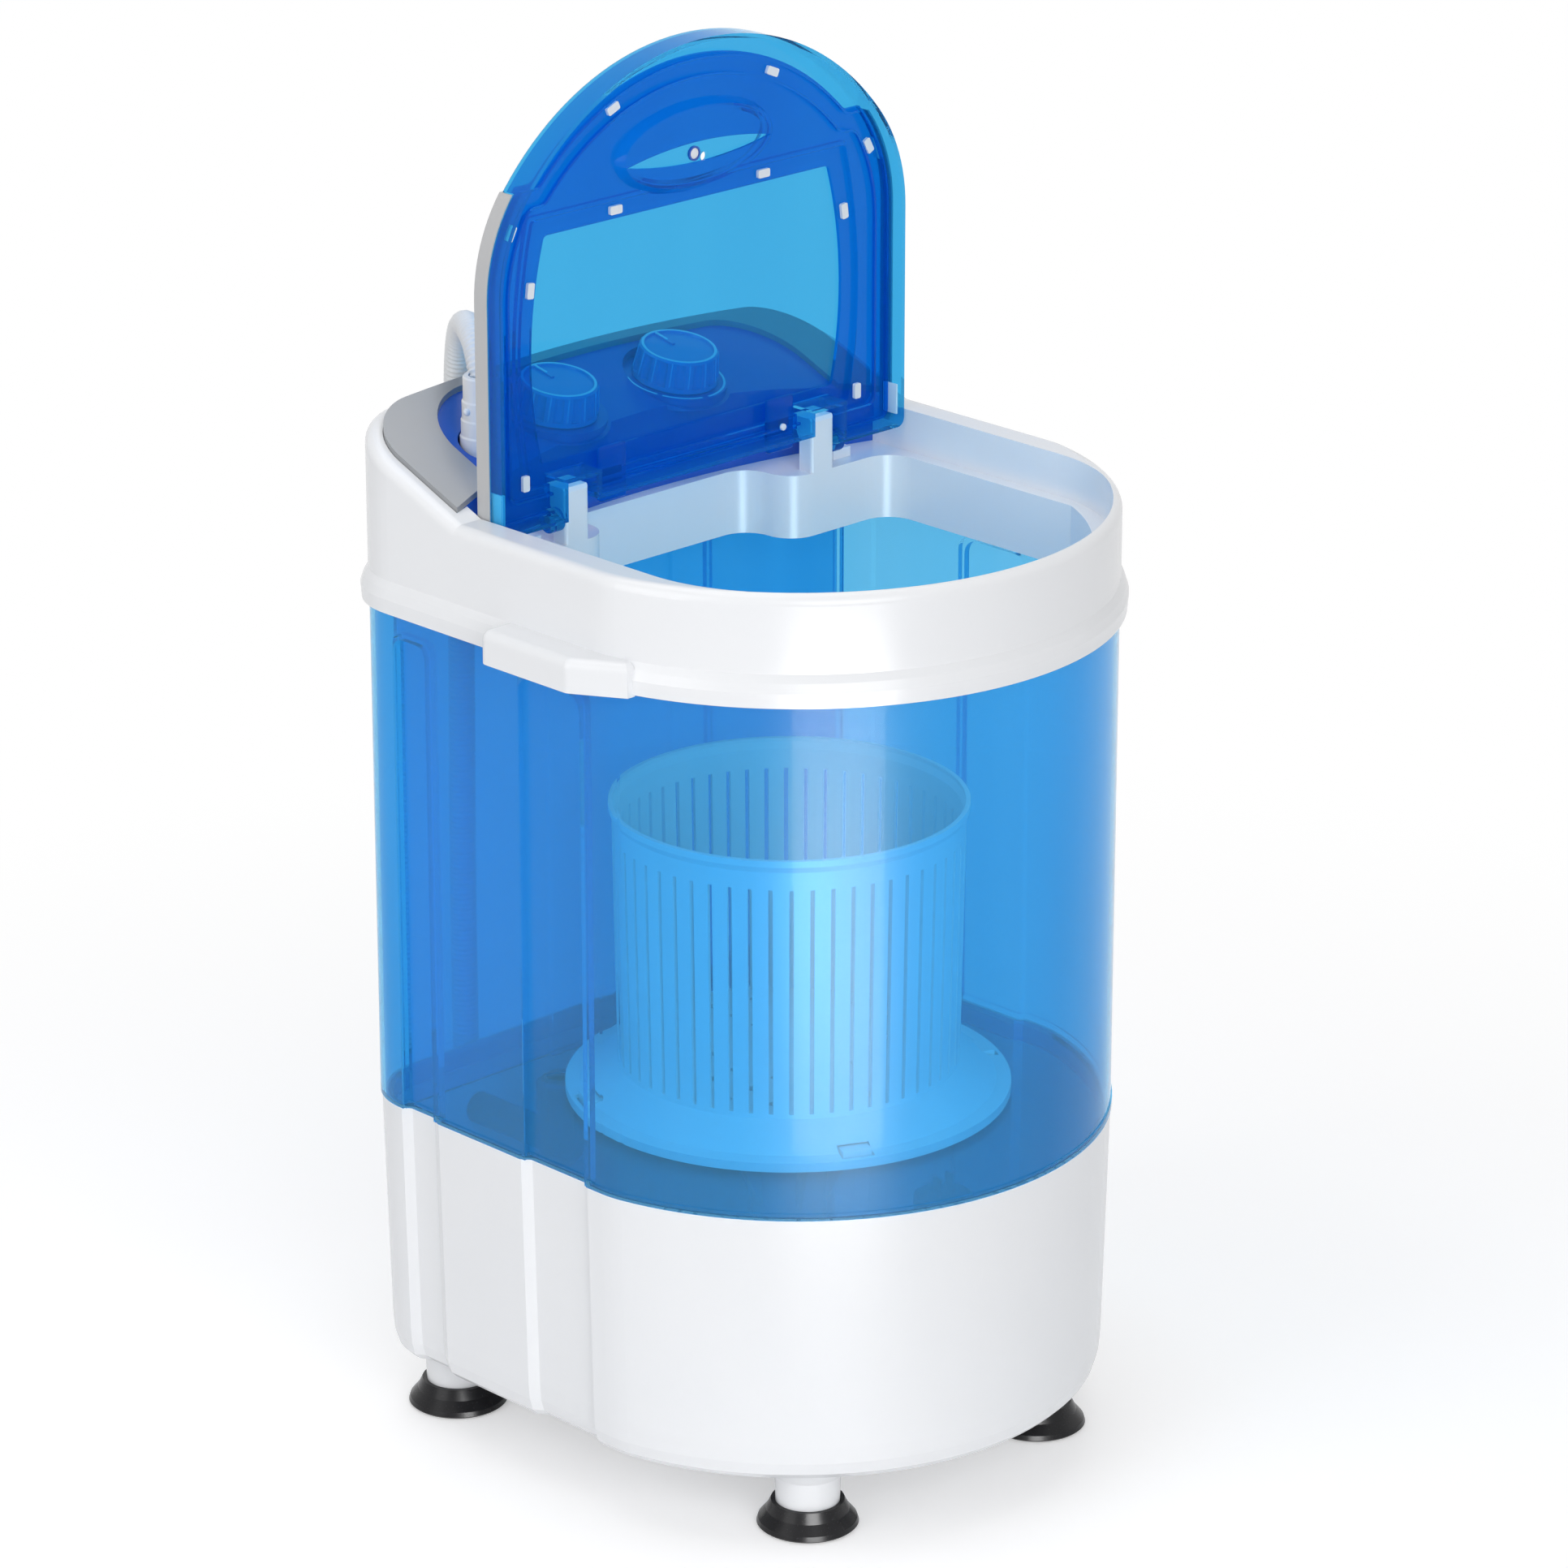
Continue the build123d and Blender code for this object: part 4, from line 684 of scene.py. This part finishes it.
def floor_finish():
    """Pale floor that is lifted to the eye, and fades to white away from the middle."""
    material = bpy.data.materials.new("floor_white")
    material.use_nodes = True
    tree = material.node_tree
    shader = tree.nodes["Principled BSDF"]
    shader.inputs["Base Color"].default_value = FLOOR_COLOR
    shader.inputs["Roughness"].default_value = 0.6
    glow = tree.nodes.new("ShaderNodeEmission")
    glow.inputs["Color"].default_value = WHITE
    total = tree.nodes.new("ShaderNodeAddShader")
    fade = tree.nodes.new("ShaderNodeMixShader")
    beyond = tree.nodes.new("ShaderNodeEmission")
    beyond.inputs["Color"].default_value = WHITE
    where = tree.nodes.new("ShaderNodeTexCoord")
    away = tree.nodes.new("ShaderNodeVectorMath")
    away.operation = "LENGTH"
    ramp = tree.nodes.new("ShaderNodeMapRange")
    ramp.interpolation_type = "SMOOTHSTEP"
    ramp.inputs["From Min"].default_value = FADE_START
    ramp.inputs["From Max"].default_value = FADE_END
    seen = seen_directly(tree)
    lift = tree.nodes.new("ShaderNodeMath")
    lift.operation = "MULTIPLY"
    lift.inputs[1].default_value = FLOOR_LIFT
    far = tree.nodes.new("ShaderNodeMath")
    far.operation = "MULTIPLY"
    link = tree.links.new
    link(seen, lift.inputs[0])
    link(lift.outputs[0], glow.inputs["Strength"])
    link(shader.outputs["BSDF"], total.inputs[0])
    link(glow.outputs["Emission"], total.inputs[1])
    link(where.outputs["Object"], away.inputs[0])
    link(away.outputs["Value"], ramp.inputs["Value"])
    link(ramp.outputs["Result"], far.inputs[0])
    link(seen, far.inputs[1])
    link(far.outputs[0], fade.inputs["Fac"])
    link(total.outputs["Shader"], fade.inputs[1])
    link(beyond.outputs["Emission"], fade.inputs[2])
    link(fade.outputs["Shader"], tree.nodes["Material Output"].inputs["Surface"])
    return material


bpy.ops.mesh.primitive_plane_add(size=FLOOR_SIZE, location=(0, 0, FLOOR_Z))
floor = bpy.context.active_object
floor.name = "floor"
bpy.ops.object.transform_apply(location=True)
floor.data.materials.append(floor_finish())
print("floor", FLOOR_SIZE, "m wide")

# %% [markdown]
# ## Lamps and world
#
# Large soft lamps light the machine from the front left, the left and above, with a weak one on
# the right. A small lamp close to the front, which only gloss shows, gives the pale gleam on
# the tub. The world is brighter to the eye than it is as a light, which keeps the backdrop white.

# %% Lamps and world
LAMPS = (
    ("key_lamp", (-1.5, -2.8, 1.5), (0, 0, 0.3), (2.0, 2.0), 46),
    ("side_lamp", (-2.6, 0.2, 1.3), (0, 0, 0.35), (1.6, 2.0), 18),
    ("fill_lamp", (2.2, -1.4, 1.4), (0, 0, 0.35), (1.4, 2.0), 2),
    ("top_lamp", (0.0, 0.4, 2.6), (0, 0, 0.3), (2.2, 1.6), 18),
    ("gleam_lamp", (-0.315, -0.510, 0.19), (0, 0, 0.19), (0.30, 0.30), 4.2),
)
WORLD_AS_LIGHT = 0.34
WORLD_TO_EYE = 1.0


def soft_lamp(name, place, target, size, power):
    """Area lamp that faces its target and can't be seen itself, also through clear plastic."""
    data = bpy.data.lights.new(name, "AREA")
    data.shape = "RECTANGLE"
    data.size, data.size_y = size
    data.energy = power
    lamp = bpy.data.objects.new(name, data)
    lamp.location = place
    lamp.rotation_euler = (Vector(target) - Vector(place)).to_track_quat("-Z", "Y").to_euler()
    lamp.visible_camera = False
    lamp.visible_transmission = False
    bpy.context.collection.objects.link(lamp)
    return lamp


lamps = {values[0]: soft_lamp(*values) for values in LAMPS}
lamps["gleam_lamp"].visible_diffuse = False

world = bpy.data.worlds.new("studio")
bpy.context.scene.world = world
world.use_nodes = True
tree = world.node_tree
sky = tree.nodes["Background"]
sky.inputs["Color"].default_value = WHITE
bright = tree.nodes.new("ShaderNodeMix")
bright.inputs["A"].default_value = WORLD_AS_LIGHT
bright.inputs["B"].default_value = WORLD_TO_EYE
tree.links.new(seen_directly(tree), bright.inputs["Factor"])
tree.links.new(bright.outputs["Result"], sky.inputs["Strength"])

bpy.context.scene.view_settings.view_transform = "Standard"
print("lamps", sorted(lamps))
